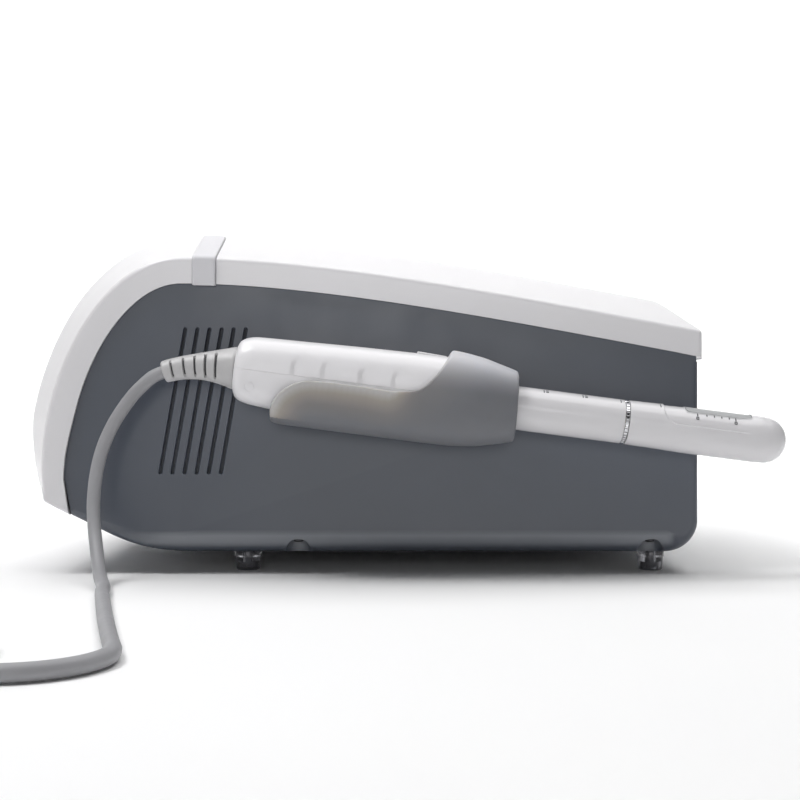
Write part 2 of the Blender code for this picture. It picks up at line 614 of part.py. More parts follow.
# power switch: body with a pocket, rocker on its own axis
body = Shape().box((PX - 20.0, SWITCH[0] - 10.6, SWITCH[1] - 6.6), (PX + 0.5, SWITCH[0] + 10.6, SWITCH[1] + 6.6)).make("power_switch_body", BLACK, smooth=0)
boolean(body, Shape().box((PX + GAP, SWITCH[0] - 12.5, SWITCH[1] - 8.4), (PX + 1.9, SWITCH[0] + 12.5, SWITCH[1] + 8.4)).make("add_rim", None, cutter=True, smooth=0), "UNION")
boolean(body, Shape().box((PX - 11.0, SWITCH[0] - 9.6, SWITCH[1] - 5.6), (PX + 9.0, SWITCH[0] + 9.6, SWITCH[1] + 5.6)).make("cut_switch", None, cutter=True, smooth=0))
ROCKER_X = PX - 3.0
OFF = math.radians(-10.0)      # the rocker is drawn switched off
prof = [(u * math.cos(OFF) - v * math.sin(OFF), u * math.sin(OFF) + v * math.cos(OFF)) for u, v in
        ((-8.9, 2.0), (-8.6, 6.2), (-4.4, 4.6), (0.0, 4.0), (4.4, 4.6), (8.6, 6.2), (8.9, 2.0), (5.0, -3.0), (-5.0, -3.0))]
rk = Shape().loft([[(ROCKER_X + v, SWITCH[0] + u, z) for u, v in prof] for z in (SWITCH[1] - 5.2, SWITCH[1] + 5.2)])
rk.make("power_rocker", BLACK, origin=(ROCKER_X, SWITCH[0], SWITCH[1]), smooth=0)

# handpiece socket
Shape().tube((PX, SOCKET[0], SOCKET[1]), (1, 0, 0), [(-20.0, 9.0), (GAP, 9.0), (GAP, 12.5), (3.0, 12.5), (3.6, 11.6), (7.0, 11.0), (7.0, 8.2), (-12.0, 8.2), (-12.0, 3.0), (-20.0, 3.0)], 24).make("handpiece_socket", CHROME)

# fan
FX = PX - 2.4
fan = Shape().box((FX - 25.0, FAN[0] - 40.0, FAN[1] - 40.0), (FX, FAN[0] + 40.0, FAN[1] + 40.0)).make("fan_frame", BLACK, smooth=0)
boolean(fan, Shape().turned((FX - 30.0, FAN[0], FAN[1]), (1, 0, 0), [(0.0, 38.0), (40.0, 38.0)], 28).make("cut_fan", None, cutter=True, smooth=0))
arms = Shape()
arms.box((FX - 24.0, FAN[0] - 39.0, FAN[1] - 2.0), (FX - 21.0, FAN[0] + 39.0, FAN[1] + 2.0))
boolean(fan, arms.make("add_arm", None, cutter=True, smooth=0), "UNION")
boolean(fan, Shape().turned((FX - 23.9, FAN[0], FAN[1]), (1, 0, 0), [(0.0, 16.0), (3.2, 16.0)], 16).make("add_hub", None, cutter=True, smooth=0), "UNION")
rot = Shape().turned((FX - 20.0, FAN[0], FAN[1]), (1, 0, 0), [(0.0, 16.0), (16.0, 16.0), (18.0, 14.0)], 20).make("fan_rotor", BLACK, origin=(FX - 12.0, FAN[0], FAN[1]))
bl = Shape()
for i in range(7):
    t = 2 * math.pi * i / 7
    rings = []
    for r, tw in ((14.0, 0.75), (36.0, 0.45)):
        c = Vector((FX - 11.5, FAN[0] + r * math.cos(t), FAN[1] + r * math.sin(t)))
        tan = Vector((0, -math.sin(t), math.cos(t)))
        ax = Vector((1, 0, 0))
        u = ax * math.cos(tw) + tan * math.sin(tw)
        w = ax * -math.sin(tw) + tan * math.cos(tw)
        L = 8.0 if r < 20 else 9.0
        rings.append([c + u * L + w * 0.6, c - u * L + w * 0.6, c - u * L - w * 0.6, c + u * L - w * 0.6])
    bl.loft(rings)
boolean(rot, bl.make("add_blade_set", None, cutter=True, smooth=0), "UNION")


# ------------------------------------------------------------------ holster
def super_section(s, top, bottom, half_y, back=None, n=24, power=2.3, centre=None, lean=0.0):
    """Rounded section across the probe axis; back limits it towards the housing."""
    c = (top + bottom) / 2 if centre is None else centre
    ring = []
    for i in range(n):
        a = 2 * math.pi * i / n
        ca, sa = math.cos(a), math.sin(a)
        y = -half_y * math.copysign(abs(ca) ** (2 / power), ca)
        h = (top - c) if sa >= 0 else (c - bottom)
        z = c + h * math.copysign(abs(sa) ** (2 / power), sa)
        if back is not None and y > 0:
            y = y / half_y * back
        ring.append(on_probe(s - lean * z, y, z))
    return ring


BACK = AXIS_OFF - GAP
HOLSTER = (               # s, top, bottom, front depth
    (-134.7, 12.0, -28.2, 21.0), (-133.2, 22.0, -29.5, 24.2), (-127.0, 28.0, -30.2, 26.0), (-50.0, 31.0, -30.2, 26.0),
    (-24.0, 31.6, -30.0, 26.0), (-6.0, 29.8, -28.6, 25.6), (8.0, 26.8, -25.6, 23.6), (18.0, 24.2, -22.8, 21.8), (21.0, 23.1, -21.7, 21.0))
rings = [super_section(s, t, b, h, back=BACK, power=2.6, lean=0.055 * smoothstep(-6.0, 18.0, s)) for s, t, b, h in HOLSTER]
holster = Shape().loft(rings).make("holster", HOLST)
CLEARANCE = (             # inside of the holster, never narrower towards the open end
    (-170.0, 29.0, -26.2, 22.8), (-24.0, 28.6, -26.2, 22.8), (-10.0, 25.6, -23.6, 21.4), (4.0, 21.2, -20.0, 18.8),
    (14.0, 17.6, -17.2, 17.0), (19.0, 16.6, -16.6, 16.6), (30.0, 16.6, -16.6, 16.6))
rings = [super_section(s, t, b, h, power=2.3 if s < 0 else 2.0) for s, t, b, h in CLEARANCE]
boolean(holster, Shape().loft(rings).make("cut_holster", None, cutter=True, smooth=0))


def opening_outline():
    """Side view of the open top of the trough, in probe coordinates (s, n)."""
    edge = [(-150.0, -24.0), (-137.0, -22.5), (-134.4, -18.8), (-131.8, -12.8), (-126.0, -6.5), (-117.4, -1.3), (-107.7, 0.6), (-79.6, 0.9),
            (-60.0, 0.4), (-51.8, 0.7), (-41.2, 4.0), (-36.0, 9.5), (-31.5, 16.0), (-27.0, 25.0), (-24.5, 30.5), (-22.0, 34.0), (-21.0, 60.0), (-150.0, 60.0)]
    return edge


cutsh = Shape()
rings = []
for y in (-60.0, 60.0):
    rings.append([on_probe(s, y, n) for s, n in opening_outline()])
cutsh.loft(rings)
boolean(holster, cutsh.make("cut_opening", None, cutter=True, smooth=0))
hs = Shape()
for s, n in HOLSTER_SCREWS:
    p = on_probe(s, 0, n)
    hs.turned((p.x, NEAR_Y - 3.6, p.z), (0, 1, 0), [(0.0, 2.1), (8.0, 2.1)], 12)
boolean(holster, hs.make("cut_holster_screws", None, cutter=True, smooth=0))
k = 0
for s, n in HOLSTER_SCREWS:
    k += 1
    p = on_probe(s, 0, n)
    Shape().turned((p.x, NEAR_Y - 3.2, p.z), (0, 1, 0), [(0.0, 1.8), (3.2 + WALL + 0.3, 1.8), (3.2 + WALL + 0.301, 4.5), (3.2 + WALL + 2.6, 4.5)], 12).make(f"holster_screw_{k}", STEEL)


# ---------------------------------------------------------------- handpiece
def handle_half(upper, n=8):
    sign = 1 if upper else -1
    rings = []
    stations = [h[0] for h in HANDLE]
    stations = stations[:4] + [-135.0, -110.0, -90.0, -67.0, -45.0] + stations[6:]
    stations.insert(2, -158.0)
    for s in sorted(set(stations)):
        t, b, hd = lerp(HANDLE, s, 1), lerp(HANDLE, s, 2), lerp(HANDLE, s, 3)
        h = (t - PART_N) if upper else (PART_N - b)
        wall = 2.4
        hi, hdi = h - wall, hd - wall
        if s < -158.4:
            hi, hdi = 9.6, 9.6
        c = PART_N + sign * GAP / 2
        cin = 0.0
        ring = []
        for i in range(n + 1):
            a = math.pi * i / n
            ca, sa = math.cos(a), math.sin(a)
            ring.append(on_probe(s, -hd * math.copysign(abs(ca) ** (2 / 2.3), ca), c + sign * h * sa ** (2 / 2.3)))
        for i in range(n, -1, -1):
            a = math.pi * i / n
            ca, sa = math.cos(a), math.sin(a)
            ring.append(on_probe(s, -hdi * math.copysign(abs(ca) ** (2 / 2.3), ca), c + sign * hi * max(sa, 0.0) ** (2 / 2.3) + cin))
        rings.append(ring)
    return Shape().loft(rings)


upper = handle_half(True).make("handle_upper_shell", WHITE)
lower = handle_half(False).make("handle_lower_shell", WHITE)
BTN_S = (-46.5, -26.5)
BTN_N = lerp(HANDLE, -34.0, 1)


def btn_top(s):
    """Crown of the trigger: proud at its rear end, flush at its front end."""
    return 28.0 - 0.9 * (s - BTN_S[0]) / (BTN_S[1] - BTN_S[0])


def button_outline(s0, s1, half, r=2.5):
    pts = []
    for cs, cy, a0 in ((s1 - r, half - r, 0), (s0 + r, half - r, 90), (s0 + r, -(half - r), 180), (s1 - r, -(half - r), 270)):
        for i in range(4):
            a = math.radians(a0 + 30.0 * i)
            pts.append((cs + r * math.cos(a), cy + r * math.sin(a)))
    return pts


def upright(outline, n0, n1):
    return [[on_probe(s, y, n) for s, y in outline] for n in (n0, n1)]


boolean(upper, Shape().loft(upright(button_outline(BTN_S[0] - 0.4, BTN_S[1] + 0.4, 6.4), 12.0, 40.0)).make("cut_button", None, cutter=True, smooth=0))
btn = Shape()
o1, o2 = button_outline(*BTN_S, 6.0), button_outline(BTN_S[0] + 0.7, BTN_S[1] - 0.7, 5.3, 2.0)
btn.loft([[on_probe(s, y, 17.5 if k == 0 else btn_top(s) - (0.6 if k == 1 else 0.0)) for s, y in o] for k, o in enumerate((o1, o1, o2))])
btn.make("trigger_button", WHITE2, origin=on_probe(-33.5, 0, BTN_N))
hb = Shape().loft([[on_probe(s, y, n) for s, y in ((-135, -14), (-20, -14), (-20, 14), (-135, 14))] for n in (12.6, 14.2)])
hb = hb.make("handle_board", PCB, smooth=0)
switch = Shape().loft([[on_probe(s, y, n) for s, y in ((-37, -3), (-30, -3), (-30, 3), (-37, 3))] for n in (13.5, 15.7)])
boolean(hb, switch.make("add_switch", None, cutter=True, smooth=0), "UNION")

# strain relief on a drooping curve
start = on_probe(-161.0 - GAP, 0, PART_N)
R0, R1, R2 = (start.x, start.z), (-128.6, 140.5), (-147.7, 134.5)
RELIEF_R = ((0.0, 14.2), (0.12, 12.2), (0.28, 10.2), (0.45, 8.7), (0.64, 7.75), (1.0, 7.05))


def relief_point(t):
    return tuple((1 - t) ** 2 * R0[i] + 2 * (1 - t) * t * R1[i] + t * t * R2[i] for i in range(2))


def relief_dir(t):
    v = [2 * ((1 - t) * (R1[i] - R0[i]) + t * (R2[i] - R1[i])) for i in range(2)]
    q = math.hypot(*v)
    return v[0] / q, v[1] / q


rings = []
NR = 14
for i in range(-2, 10):
    t = max(i, 0) / 9
    (x, z), (dx, dz) = relief_point(t), relief_dir(t)
    if i < 0:
        x, z = x - dx * 4.5 * (-i), z - dz * 4.5 * (-i)
        r = 9.0
    else:
        r = lerp(RELIEF_R, t)
    if i == 0:
        for rr in (9.0, 14.2):
            rings.append([Vector((x + dz * rr * math.cos(a), AXIS_Y + rr * math.sin(a), z - dx * rr * math.cos(a)))
                          for a in [2 * math.pi * k / NR for k in range(NR)]])
        continue
    rings.append([Vector((x + dz * r * math.cos(a), AXIS_Y + r * math.sin(a), z - dx * r * math.cos(a)))
                  for a in [2 * math.pi * k / NR for k in range(NR)]])
Shape().loft(rings).make("strain_relief", CORD)

# probe tube, ring, cartridge
Shape().tube(on_probe(0), D, [(18.4, PROBE_R), (18.4, 11.8), (RING_S[0] - GAP, 11.8), (RING_S[0] - GAP, PROBE_R)], 28).make("probe_tube", WHITE)
Shape().tube(on_probe(0), D, [(RING_S[0], 13.7), (RING_S[0], 10.8), (RING_S[1], 10.8), (RING_S[1], 13.7)], 28).make("chrome_ring", CHROME)
prof = [(s, r) for s, r in CARTRIDGE]
for i in range(1, 7):
    a = math.radians(15.0 * i)
    prof.append((DOME_S + (TIP_S - DOME_S) * math.sin(a), max(14.7 * math.cos(a), 0.0)))
prof = prof[:-1] + [(TIP_S, 1.2)]
cart = Shape().turned(on_probe(0), D, prof, 28).make("cartridge_shell", WHITE)
boolean(cart, Shape().turned(on_probe(0), D, [(80.0, 11.6), (172.0, 11.6)], 24).make("cut_cartridge", None, cutter=True, smooth=0))
WIN_S = (129.0, 172.0)
win = Shape().loft([[on_probe(s, y, n) for s, y in button_outline(WIN_S[0], WIN_S[1], 9.0, 0.9)] for n in (6.0, 30.0)])
boolean(cart, win.make("cut_window", None, cutter=True, smooth=0))
film_outer, film_inner = [], []
ring_set = []
for s in (WIN_S[0] + 0.4, (WIN_S[0] + WIN_S[1]) / 2, WIN_S[1] - 0.4):
    ring = []
    for r in (14.9, 14.2):
        ys_ = [-8.6, -4.5, 0.0, 4.5, 8.6]
        if r < 14.5:
            ys_ = ys_[::-1]
        for y in ys_:
            ring.append(on_probe(s, y, math.sqrt(r * r - y * y)))
    ring_set.append(ring)
Shape().loft(ring_set).make("membrane_window", FILM)

# drive: motor, screw, sliding nut with push rod, transducer
Shape().turned(on_probe(-96.0), D, [(0.0, 11.2), (0.4, 11.6), (31.6, 11.6), (32.0, 11.2)], 20).make("drive_motor", STEEL)
Shape().turned(on_probe(-63.6), D, [(0.0, 2.0), (12.0, 2.0), (12.001, 3.0), (16.0, 3.0), (16.001, 2.0), (64.0, 2.0)], 12).make("drive_screw", STEEL, origin=on_probe(-63.6))
NUT_S = -36.0
push = Shape().tube(on_probe(0), D, [(NUT_S, 7.0), (NUT_S + 10.0, 7.0), (NUT_S + 10.0, 4.2), (128.0, 4.2), (128.0, 2.6), (NUT_S, 2.6)], 16).make("push_rod", BRASS, origin=on_probe(NUT_S))
tr = Shape().loft([[on_probe(s, y, n) for s, y in button_outline(128.4, 143.0, 6.5, 2.0)] for n in (-6.0, 9.0)]).make("transducer", STEEL, origin=on_probe(135.0))
Shape().turned(on_probe(135.7, 0, 9.3), N, [(0.0, 5.6), (1.6, 5.6), (2.6, 4.6)], 16).make("transducer_lens", FILM)
Shape().tube(on_probe(60.0), D, [(0.0, 11.4), (0.0, 4.7), (6.0, 4.7), (6.0, 11.4)], 20).make("rod_guide", BLACK)


# --------------------------------------------------------------------- cord
def catmull(points, step):
    """Evenly spaced points on a smooth curve through the route."""
    pts = [Vector(p) for p in points]
    pts = [2 * pts[0] - pts[1]] + pts + [2 * pts[-1] - pts[-2]]
    dense = []
    for i in range(1, len(pts) - 2):
        p0, p1, p2, p3 = pts[i - 1:i + 3]
        for k in range(24):
            t = k / 24
            dense.append(0.5 * ((2 * p1) + (p2 - p0) * t + (2 * p0 - 5 * p1 + 4 * p2 - p3) * t * t + (3 * p1 - p0 - 3 * p2 + p3) * t ** 3))
    dense.append(pts[-2])
    total = sum((b - a).length for a, b in zip(dense[:-1], dense[1:]))
    count = max(2, round(total / step))
    out, run, want = [dense[0]], 0.0, total / count
    for a, b in zip(dense[:-1], dense[1:]):
        seg = (b - a).length
        while run + seg >= want - 1e-9 and len(out) < count:
            f = (want - run) / seg if seg else 0
            out.append(a + (b - a) * f)
            want += total / count
        run += seg
    out.append(dense[-1])
    return out, total


def cord_curve(name, pts, resolution=2):
    cu = bpy.data.curves.new(name, "CURVE")
    cu.dimensions = "3D"
    cu.bevel_depth = CORD_D / 2 * MM
    cu.bevel_resolution = resolution
    cu.use_fill_caps = True
    sp = cu.splines.new("POLY")
    sp.points.add(len(pts) - 1)
    for i, p in enumerate(pts):
        sp.points[i].co = (*(p * MM), 1.0)
    cu.materials.append(CORD)
    ob = bpy.data.objects.new(name, cu)
    bpy.context.scene.collection.objects.link(ob)
    return ob


rd = relief_dir(1.0)
EXIT = Vector((R2[0] + rd[0] * 0.4, AXIS_Y, R2[1] + rd[1] * 0.4))
DROP = [EXIT, (-152.6, AXIS_Y, 132.6), (-157.2, AXIS_Y, 129.6), (-167.1, AXIS_Y, 120.0), (-176.6, AXIS_Y, 107.0), (-183.6, AXIS_Y, 94.2),
        (-188.4, AXIS_Y - 0.5, 81.0), (-191.2, AXIS_Y - 1.5, 67.0), (-192.1, AXIS_Y - 4.0, 52.5), (-190.8, AXIS_Y - 9.0, 38.5),
        (-187.6, AXIS_Y - 17.5, 25.5), (-183.4, AXIS_Y - 30.0, 14.5), (-178.4, AXIS_Y - 46.0, 7.6), (-172.6, AXIS_Y - 64.0, CORD_Z)]
ENTRY = (COIL_C[0] + 39.8, COIL_C[1] - COIL_R, CORD_Z)
FLOOR = [(-172.6, AXIS_Y - 64.0, CORD_Z), (-169.0, AXIS_Y - 84.0, CORD_Z), (-164.0, AXIS_Y - 106.0, CORD_Z), (-158.8, AXIS_Y - 128.0, CORD_Z), (-153.5, AXIS_Y - 150.0, CORD_Z),
         (-148.2, AXIS_Y - 172.0, CORD_Z), (-141.2, AXIS_Y - 200.0, CORD_Z), (-133.6, AXIS_Y - 230.0, CORD_Z), (-127.0, AXIS_Y - 255.0, CORD_Z), (-124.0, -424.0, CORD_Z), (-122.8, -439.3, CORD_Z),
         (-127.2, -454.0, CORD_Z), (-136.5, -466.1, CORD_Z), (-149.6, -474.1, CORD_Z), (-164.6, -476.9, CORD_Z), (-183.0, -476.9, CORD_Z), ENTRY]
route, length = catmull(DROP + FLOOR[1:], 20.0)
split = min(range(len(route)), key=lambda i: (route[i] - Vector(DROP[-2])).length)
heading = (route[split + 1] - route[split - 1]).normalized()
joint = route[split]
out_dir = Vector((rd[0], 0.0, rd[1]))
up_pts = [EXIT, EXIT + out_dir * 4.0] + route[1:split] + [joint - heading * 4.0, joint]
low_pts = [joint + heading * 0.35, joint + heading * 4.35] + route[split + 1:]
cord_curve("cord_upper", up_pts)
cord_curve("cord_lower", low_pts)
Shape().tube((COIL_C[0], COIL_C[1], 0.0), (0, 0, 1), [(COIL_Z[0], COIL_R - CORD_D), (COIL_Z[0], COIL_R + CORD_D), (COIL_Z[1], COIL_R + CORD_D), (COIL_Z[1], COIL_R - CORD_D)], 32).make("cord_coil", CORD)
# tie round the coil's bundle, on the side away from the unit
TX, TY = COIL_C[0], COIL_C[1] - COIL_R
tie = Shape().box((TX - 4.0, TY - CORD_D - 1.6, 0.05), (TX + 4.0, TY + CORD_D + 1.8, COIL_Z[1] + 1.4)).make("cord_tie", BLACK, smooth=0)
boolean(tie, Shape().box((TX - 9.0, TY - CORD_D - 0.4, COIL_Z[0] - 0.3), (TX + 9.0, TY + CORD_D + 0.9, COIL_Z[1] + 0.4)).make("cut_tie", None, cutter=True, smooth=0))
PLUG_X = COIL_C[0] - COIL_R - 0.8
Shape().turned((PLUG_X, COIL_C[1] + 37.6, 9.6), (0, 1, 0), [(0.0, 4.6), (14.0, 6.6), (14.001, 8.2), (30.0, 8.2), (30.001, 9.2), (42.0, 9.2), (42.001, 7.4), (52.0, 7.4)], 18).make("cord_connector", BLACK)
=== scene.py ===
import math
import bpy
import bmesh
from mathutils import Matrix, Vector


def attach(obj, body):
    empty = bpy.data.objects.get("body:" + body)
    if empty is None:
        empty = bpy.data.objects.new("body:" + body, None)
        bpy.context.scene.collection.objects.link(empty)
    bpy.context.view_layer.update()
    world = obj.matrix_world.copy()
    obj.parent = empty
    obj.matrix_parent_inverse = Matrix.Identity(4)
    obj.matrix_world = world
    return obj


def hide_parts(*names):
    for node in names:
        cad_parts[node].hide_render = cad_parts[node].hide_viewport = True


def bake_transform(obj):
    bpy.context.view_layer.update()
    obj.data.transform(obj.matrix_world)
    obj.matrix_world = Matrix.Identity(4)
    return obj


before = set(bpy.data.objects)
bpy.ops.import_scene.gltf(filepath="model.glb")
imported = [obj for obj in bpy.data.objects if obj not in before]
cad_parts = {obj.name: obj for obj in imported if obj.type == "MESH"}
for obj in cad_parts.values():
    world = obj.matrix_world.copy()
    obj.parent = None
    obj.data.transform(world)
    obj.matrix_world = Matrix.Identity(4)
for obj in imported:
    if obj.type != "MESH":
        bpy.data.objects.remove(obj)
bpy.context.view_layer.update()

MM = 0.001

# ------------------------------------------------------------------ dimensions, in millimetres
HALF_W, SKIN, GAP = 155.0, 2.7, 0.3
BAND_OUT = HALF_W + 0.6 + SKIN
AXIS_OFF, HOLSTER_OUT = 27.5, 26.0
MID_Y = (AXIS_OFF + HOLSTER_OUT + HALF_W - BAND_OUT) / 2.0
NEAR_Y = MID_Y - HALF_W
AXIS_Y = NEAR_Y - AXIS_OFF
BASE_Z, REAR_X, COVER_REAR_X, WALL = 14.0, 204.0, 206.0, 3.0
EDGE_R, REAR_EDGE_R, REAR_CORNER_R = 16.0, 4.0, 21.0
SHOULDER_TOP = ((206.0, 162.4), (90.0, 184.0), (-45.0, 211.0), (-141.0, 211.0))
SHOULDER_FRONT = ((-141.0, 211.0), (-195.4, 211.0), (-238.3, 126.8), (-232.3, 55.4))
LIP_P, LIP_Q = (-231.9, 49.0), (-215.4, 40.4)
BAND_W, BEVEL_IN, RISE_TOP, RISE_FRONT = 17.0, 51.0, 19.2, 23.0
REAR_BEVEL, FRONT_BEVEL = 25.0, 50.0
SEAM_X = (-133.0, -117.4)
VENTS, VENT_PITCH, VENT_TOP, VENT_BOTTOM, VENT_W = 6, 8.07, (-138.0, 164.5), (-155.0, 67.2), 2.1
FEET_X, FOOT_INSET, FOOT_R = (-99.5, 177.3), 30.0, (8.0, 9.3)
WELL_X, WELL_R, WELL_INSET = (-63.1, 172.9), 8.8, 9.0
WELL_TOP = BASE_Z + 10.2
TILT = math.radians(7.4)
PROBE_REF = (58.6, 114.2)
D = Vector((math.cos(TILT), 0.0, -math.sin(TILT)))
N = Vector((math.sin(TILT), 0.0, math.cos(TILT)))
PROBE_R, RING_S, TIP_S, PART_N, DOME_S = 14.15, (90.8, 93.2), 196.8, 2.0, 183.0
HANDLE = (
    (-161.0, 17.5, -13.5, 15.0), (-159.2, 20.3, -16.6, 18.0), (-155.0, 22.6, -18.9, 20.0),
    (-149.0, 23.8, -20.1, 21.0), (-120.0, 24.8, -22.2, 21.8), (-67.0, 26.4, -24.4, 22.0),
    (-26.0, 27.0, -24.8, 22.0), (-12.0, 24.2, -22.4, 20.6), (2.0, 20.0, -18.8, 18.0),
    (12.0, 16.4, -15.9, 15.8), (18.0, 14.9, -14.9, 14.9))
CARTRIDGE = ((93.5, 14.3), (110.0, 14.6), (135.0, 15.1), (176.0, 15.1), (183.0, 14.7))
HOLSTER = (
    (-134.7, 12.0, -28.2, 21.0), (-133.2, 22.0, -29.5, 24.2), (-127.0, 28.0, -30.2, 26.0), (-50.0, 31.0, -30.2, 26.0),
    (-24.0, 31.6, -30.0, 26.0), (-6.0, 29.8, -28.6, 25.6), (8.0, 26.8, -25.6, 23.6), (18.6, 24.2, -22.8, 21.8), (22.0, 23.1, -21.7, 21.0))
CLEARANCE = (
    (-170.0, 29.0, -26.2, 22.8), (-24.0, 28.6, -26.2, 22.8), (-10.0, 25.6, -23.6, 21.4), (4.0, 21.2, -20.0, 18.8),
    (14.0, 17.6, -17.2, 17.0), (19.0, 16.6, -16.6, 16.6), (30.0, 16.6, -16.6, 16.6))
WIN_S = (129.0, 172.0)
BTN_S = (-46.5, -26.5)
PX = REAR_X - WALL - GAP
INLET, SWITCH, SOCKET, FAN = (MID_Y + 78.0, 72.0), (MID_Y + 78.0, 108.0), (MID_Y + 22.0, 80.0), (MID_Y - 58.0, 90.5)
PANEL = (MID_Y - 112.0, MID_Y + 112.0, 50.0, 131.0)
CORD_D = 8.6
CORD_Z = CORD_D / 2 + 0.15
COIL_C, COIL_R = (-242.0, -425.3), 51.6


# ------------------------------------------------------------------ camera
cam_data = bpy.data.cameras.new("camera")
cam_data.sensor_width, cam_data.lens = 36.0, 60.75
cam_data.clip_start, cam_data.clip_end = 0.05, 30.0
cam = bpy.data.objects.new("camera", cam_data)
cam.location = (0.005, NEAR_Y * MM - 0.9, 0.1165)
cam.rotation_euler = (math.radians(90.0), 0.0, 0.0)
bpy.context.scene.collection.objects.link(cam)
bpy.context.scene.camera = cam


# ------------------------------------------------------------------ mesh helpers
class Shape:
    """Closed shells gathered in millimetres."""

    def __init__(self):
        self.v, self.f = [], []

    def loft(self, rings, close=False, caps=True):
        base, n, k = len(self.v), len(rings[0]), len(rings)
        for r in rings:
            self.v.extend(Vector(p) for p in r)
        last = k if close else k - 1
        for i in range(last):
            a, b = base + i * n, base + ((i + 1) % k) * n
            for j in range(n):
                self.f.append((a + j, a + (j + 1) % n, b + (j + 1) % n, b + j))
        if not close and caps:
            self.f.append(tuple(base + j for j in range(n))[::-1])
            self.f.append(tuple(base + (k - 1) * n + j for j in range(n)))
        return self

    def box(self, lo, hi, r=0.0):
        x0, y0, z0 = lo
        x1, y1, z1 = hi
        if not r:
            return self.loft([[(x0, y0, z0), (x1, y0, z0), (x1, y1, z0), (x0, y1, z0)],
                              [(x0, y0, z1), (x1, y0, z1), (x1, y1, z1), (x0, y1, z1)]])
        rings = []
        for dz, q in ((0.0, r), (r * 0.3, r * 0.3), (r, 0.0)):
            rings.append([(x0 + q + r, y0 + q, z0 + dz), (x1 - q - r, y0 + q, z0 + dz), (x1 - q, y0 + q + r, z0 + dz), (x1 - q, y1 - q - r, z0 + dz),
                          (x1 - q - r, y1 - q, z0 + dz), (x0 + q + r, y1 - q, z0 + dz), (x0 + q, y1 - q - r, z0 + dz), (x0 + q, y0 + q + r, z0 + dz)])
        for dz, q in ((r, 0.0), (r * 0.3, r * 0.3), (0.0, r)):
            rings.append([(x0 + q + r, y0 + q, z1 - dz), (x1 - q - r, y0 + q, z1 - dz), (x1 - q, y0 + q + r, z1 - dz), (x1 - q, y1 - q - r, z1 - dz),
                          (x1 - q - r, y1 - q, z1 - dz), (x0 + q + r, y1 - q, z1 - dz), (x0 + q, y1 - q - r, z1 - dz), (x0 + q, y0 + q + r, z1 - dz)])
        return self.loft(rings)

    def turned(self, start, along, profile, n=48, side=None):
        a = Vector(along).normalized()
        u = Vector(side) if side else (Vector((0, 1, 0)) if abs(a.y) < 0.9 else Vector((1, 0, 0)))
        u = (u - a * u.dot(a)).normalized()
        w = a.cross(u)
        rings = []
        for t, r in profile:
            c = Vector(start) + a * t
            rings.append([c + (u * math.cos(2 * math.pi * i / n) + w * math.sin(2 * math.pi * i / n)) * r for i in range(n)])
        return self.loft(rings)

    def tube(self, start, along, profile, n=48):
        a = Vector(along).normalized()
        u = Vector((0, 1, 0)) if abs(a.y) < 0.9 else Vector((1, 0, 0))
        u = (u - a * u.dot(a)).normalized()
        w = a.cross(u)
        rings = []
        for i in range(n):
            q = u * math.cos(2 * math.pi * i / n) + w * math.sin(2 * math.pi * i / n)
            rings.append([Vector(start) + a * t + q * r for t, r in profile])
        return self.loft(rings, close=True)

    def prism(self, outline, y0, y1):
        return self.loft([[(x, y0, z) for x, z in outline], [(x, y1, z) for x, z in outline]])

    def make(self, name, mat=None, smooth=35.0, weighted=False):
        me = bpy.data.meshes.new(name)
        me.from_pydata([tuple(p * MM) for p in self.v], [], self.f)
        bm = bmesh.new()
        bm.from_mesh(me)
        bmesh.ops.recalc_face_normals(bm, faces=bm.faces)
        bm.to_mesh(me)
        bm.free()
        ob = bpy.data.objects.new(name, me)
        bpy.context.scene.collection.objects.link(ob)
        if mat:
            me.materials.append(mat)
        shade(ob, smooth, weighted)
        return ob


def shade(ob, smooth=35.0, weighted=False):
    if smooth:
        ob.data.shade_smooth()
        ob.data.set_sharp_from_angle(angle=math.radians(smooth))
    if weighted:
        m = ob.modifiers.new("normals", "WEIGHTED_NORMAL")
        m.keep_sharp = True
    return ob


def settle(ob):
    """Applies the object's modifiers to its mesh."""
    dg = bpy.context.evaluated_depsgraph_get()
    dg.update()
    me = bpy.data.meshes.new_from_object(ob.evaluated_get(dg))
    old = ob.data
    name = old.name
    ob.modifiers.clear()
    ob.data = me
    bpy.data.meshes.remove(old)
    me.name = name
    return ob


def carve(ob, *cutters, op="DIFFERENCE", smooth=35.0, weighted=False, merge=0.0):
    """Applies Booleans with the cutters at once and removes them."""
    for m in list(ob.modifiers):
        ob.modifiers.remove(m)
    for c in cutters:
        m = ob.modifiers.new(c.name, "BOOLEAN")
        m.operation, m.solver, m.object = op, "EXACT", c
    settle(ob)
    for c in cutters:
        me = c.data
        bpy.data.objects.remove(c)
        bpy.data.meshes.remove(me)
    if merge:
        bm = bmesh.new()
        bm.from_mesh(ob.data)
        bmesh.ops.remove_doubles(bm, verts=bm.verts, dist=merge * MM)
        bmesh.ops.dissolve_degenerate(bm, edges=bm.edges, dist=merge * MM)
        bm.to_mesh(ob.data)
        bm.free()
    return shade(ob, smooth, weighted)


def piece(ob, body, slot=None, *nodes):
    if nodes:
        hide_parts(*nodes)
    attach(ob, body)
    return ob


def bezier(P, t):
    a, b, c, d = ((1 - t) ** 3, 3 * (1 - t) ** 2 * t, 3 * (1 - t) * t * t, t ** 3)
    return tuple(a * P[0][i] + b * P[1][i] + c * P[2][i] + d * P[3][i] for i in range(2))


def bezier_dir(P, t):
    v = [3 * ((1 - t) ** 2 * (P[1][i] - P[0][i]) + 2 * (1 - t) * t * (P[2][i] - P[1][i])
              + t * t * (P[3][i] - P[2][i])) for i in range(2)]
    q = math.hypot(*v)
    return v[0] / q, v[1] / q


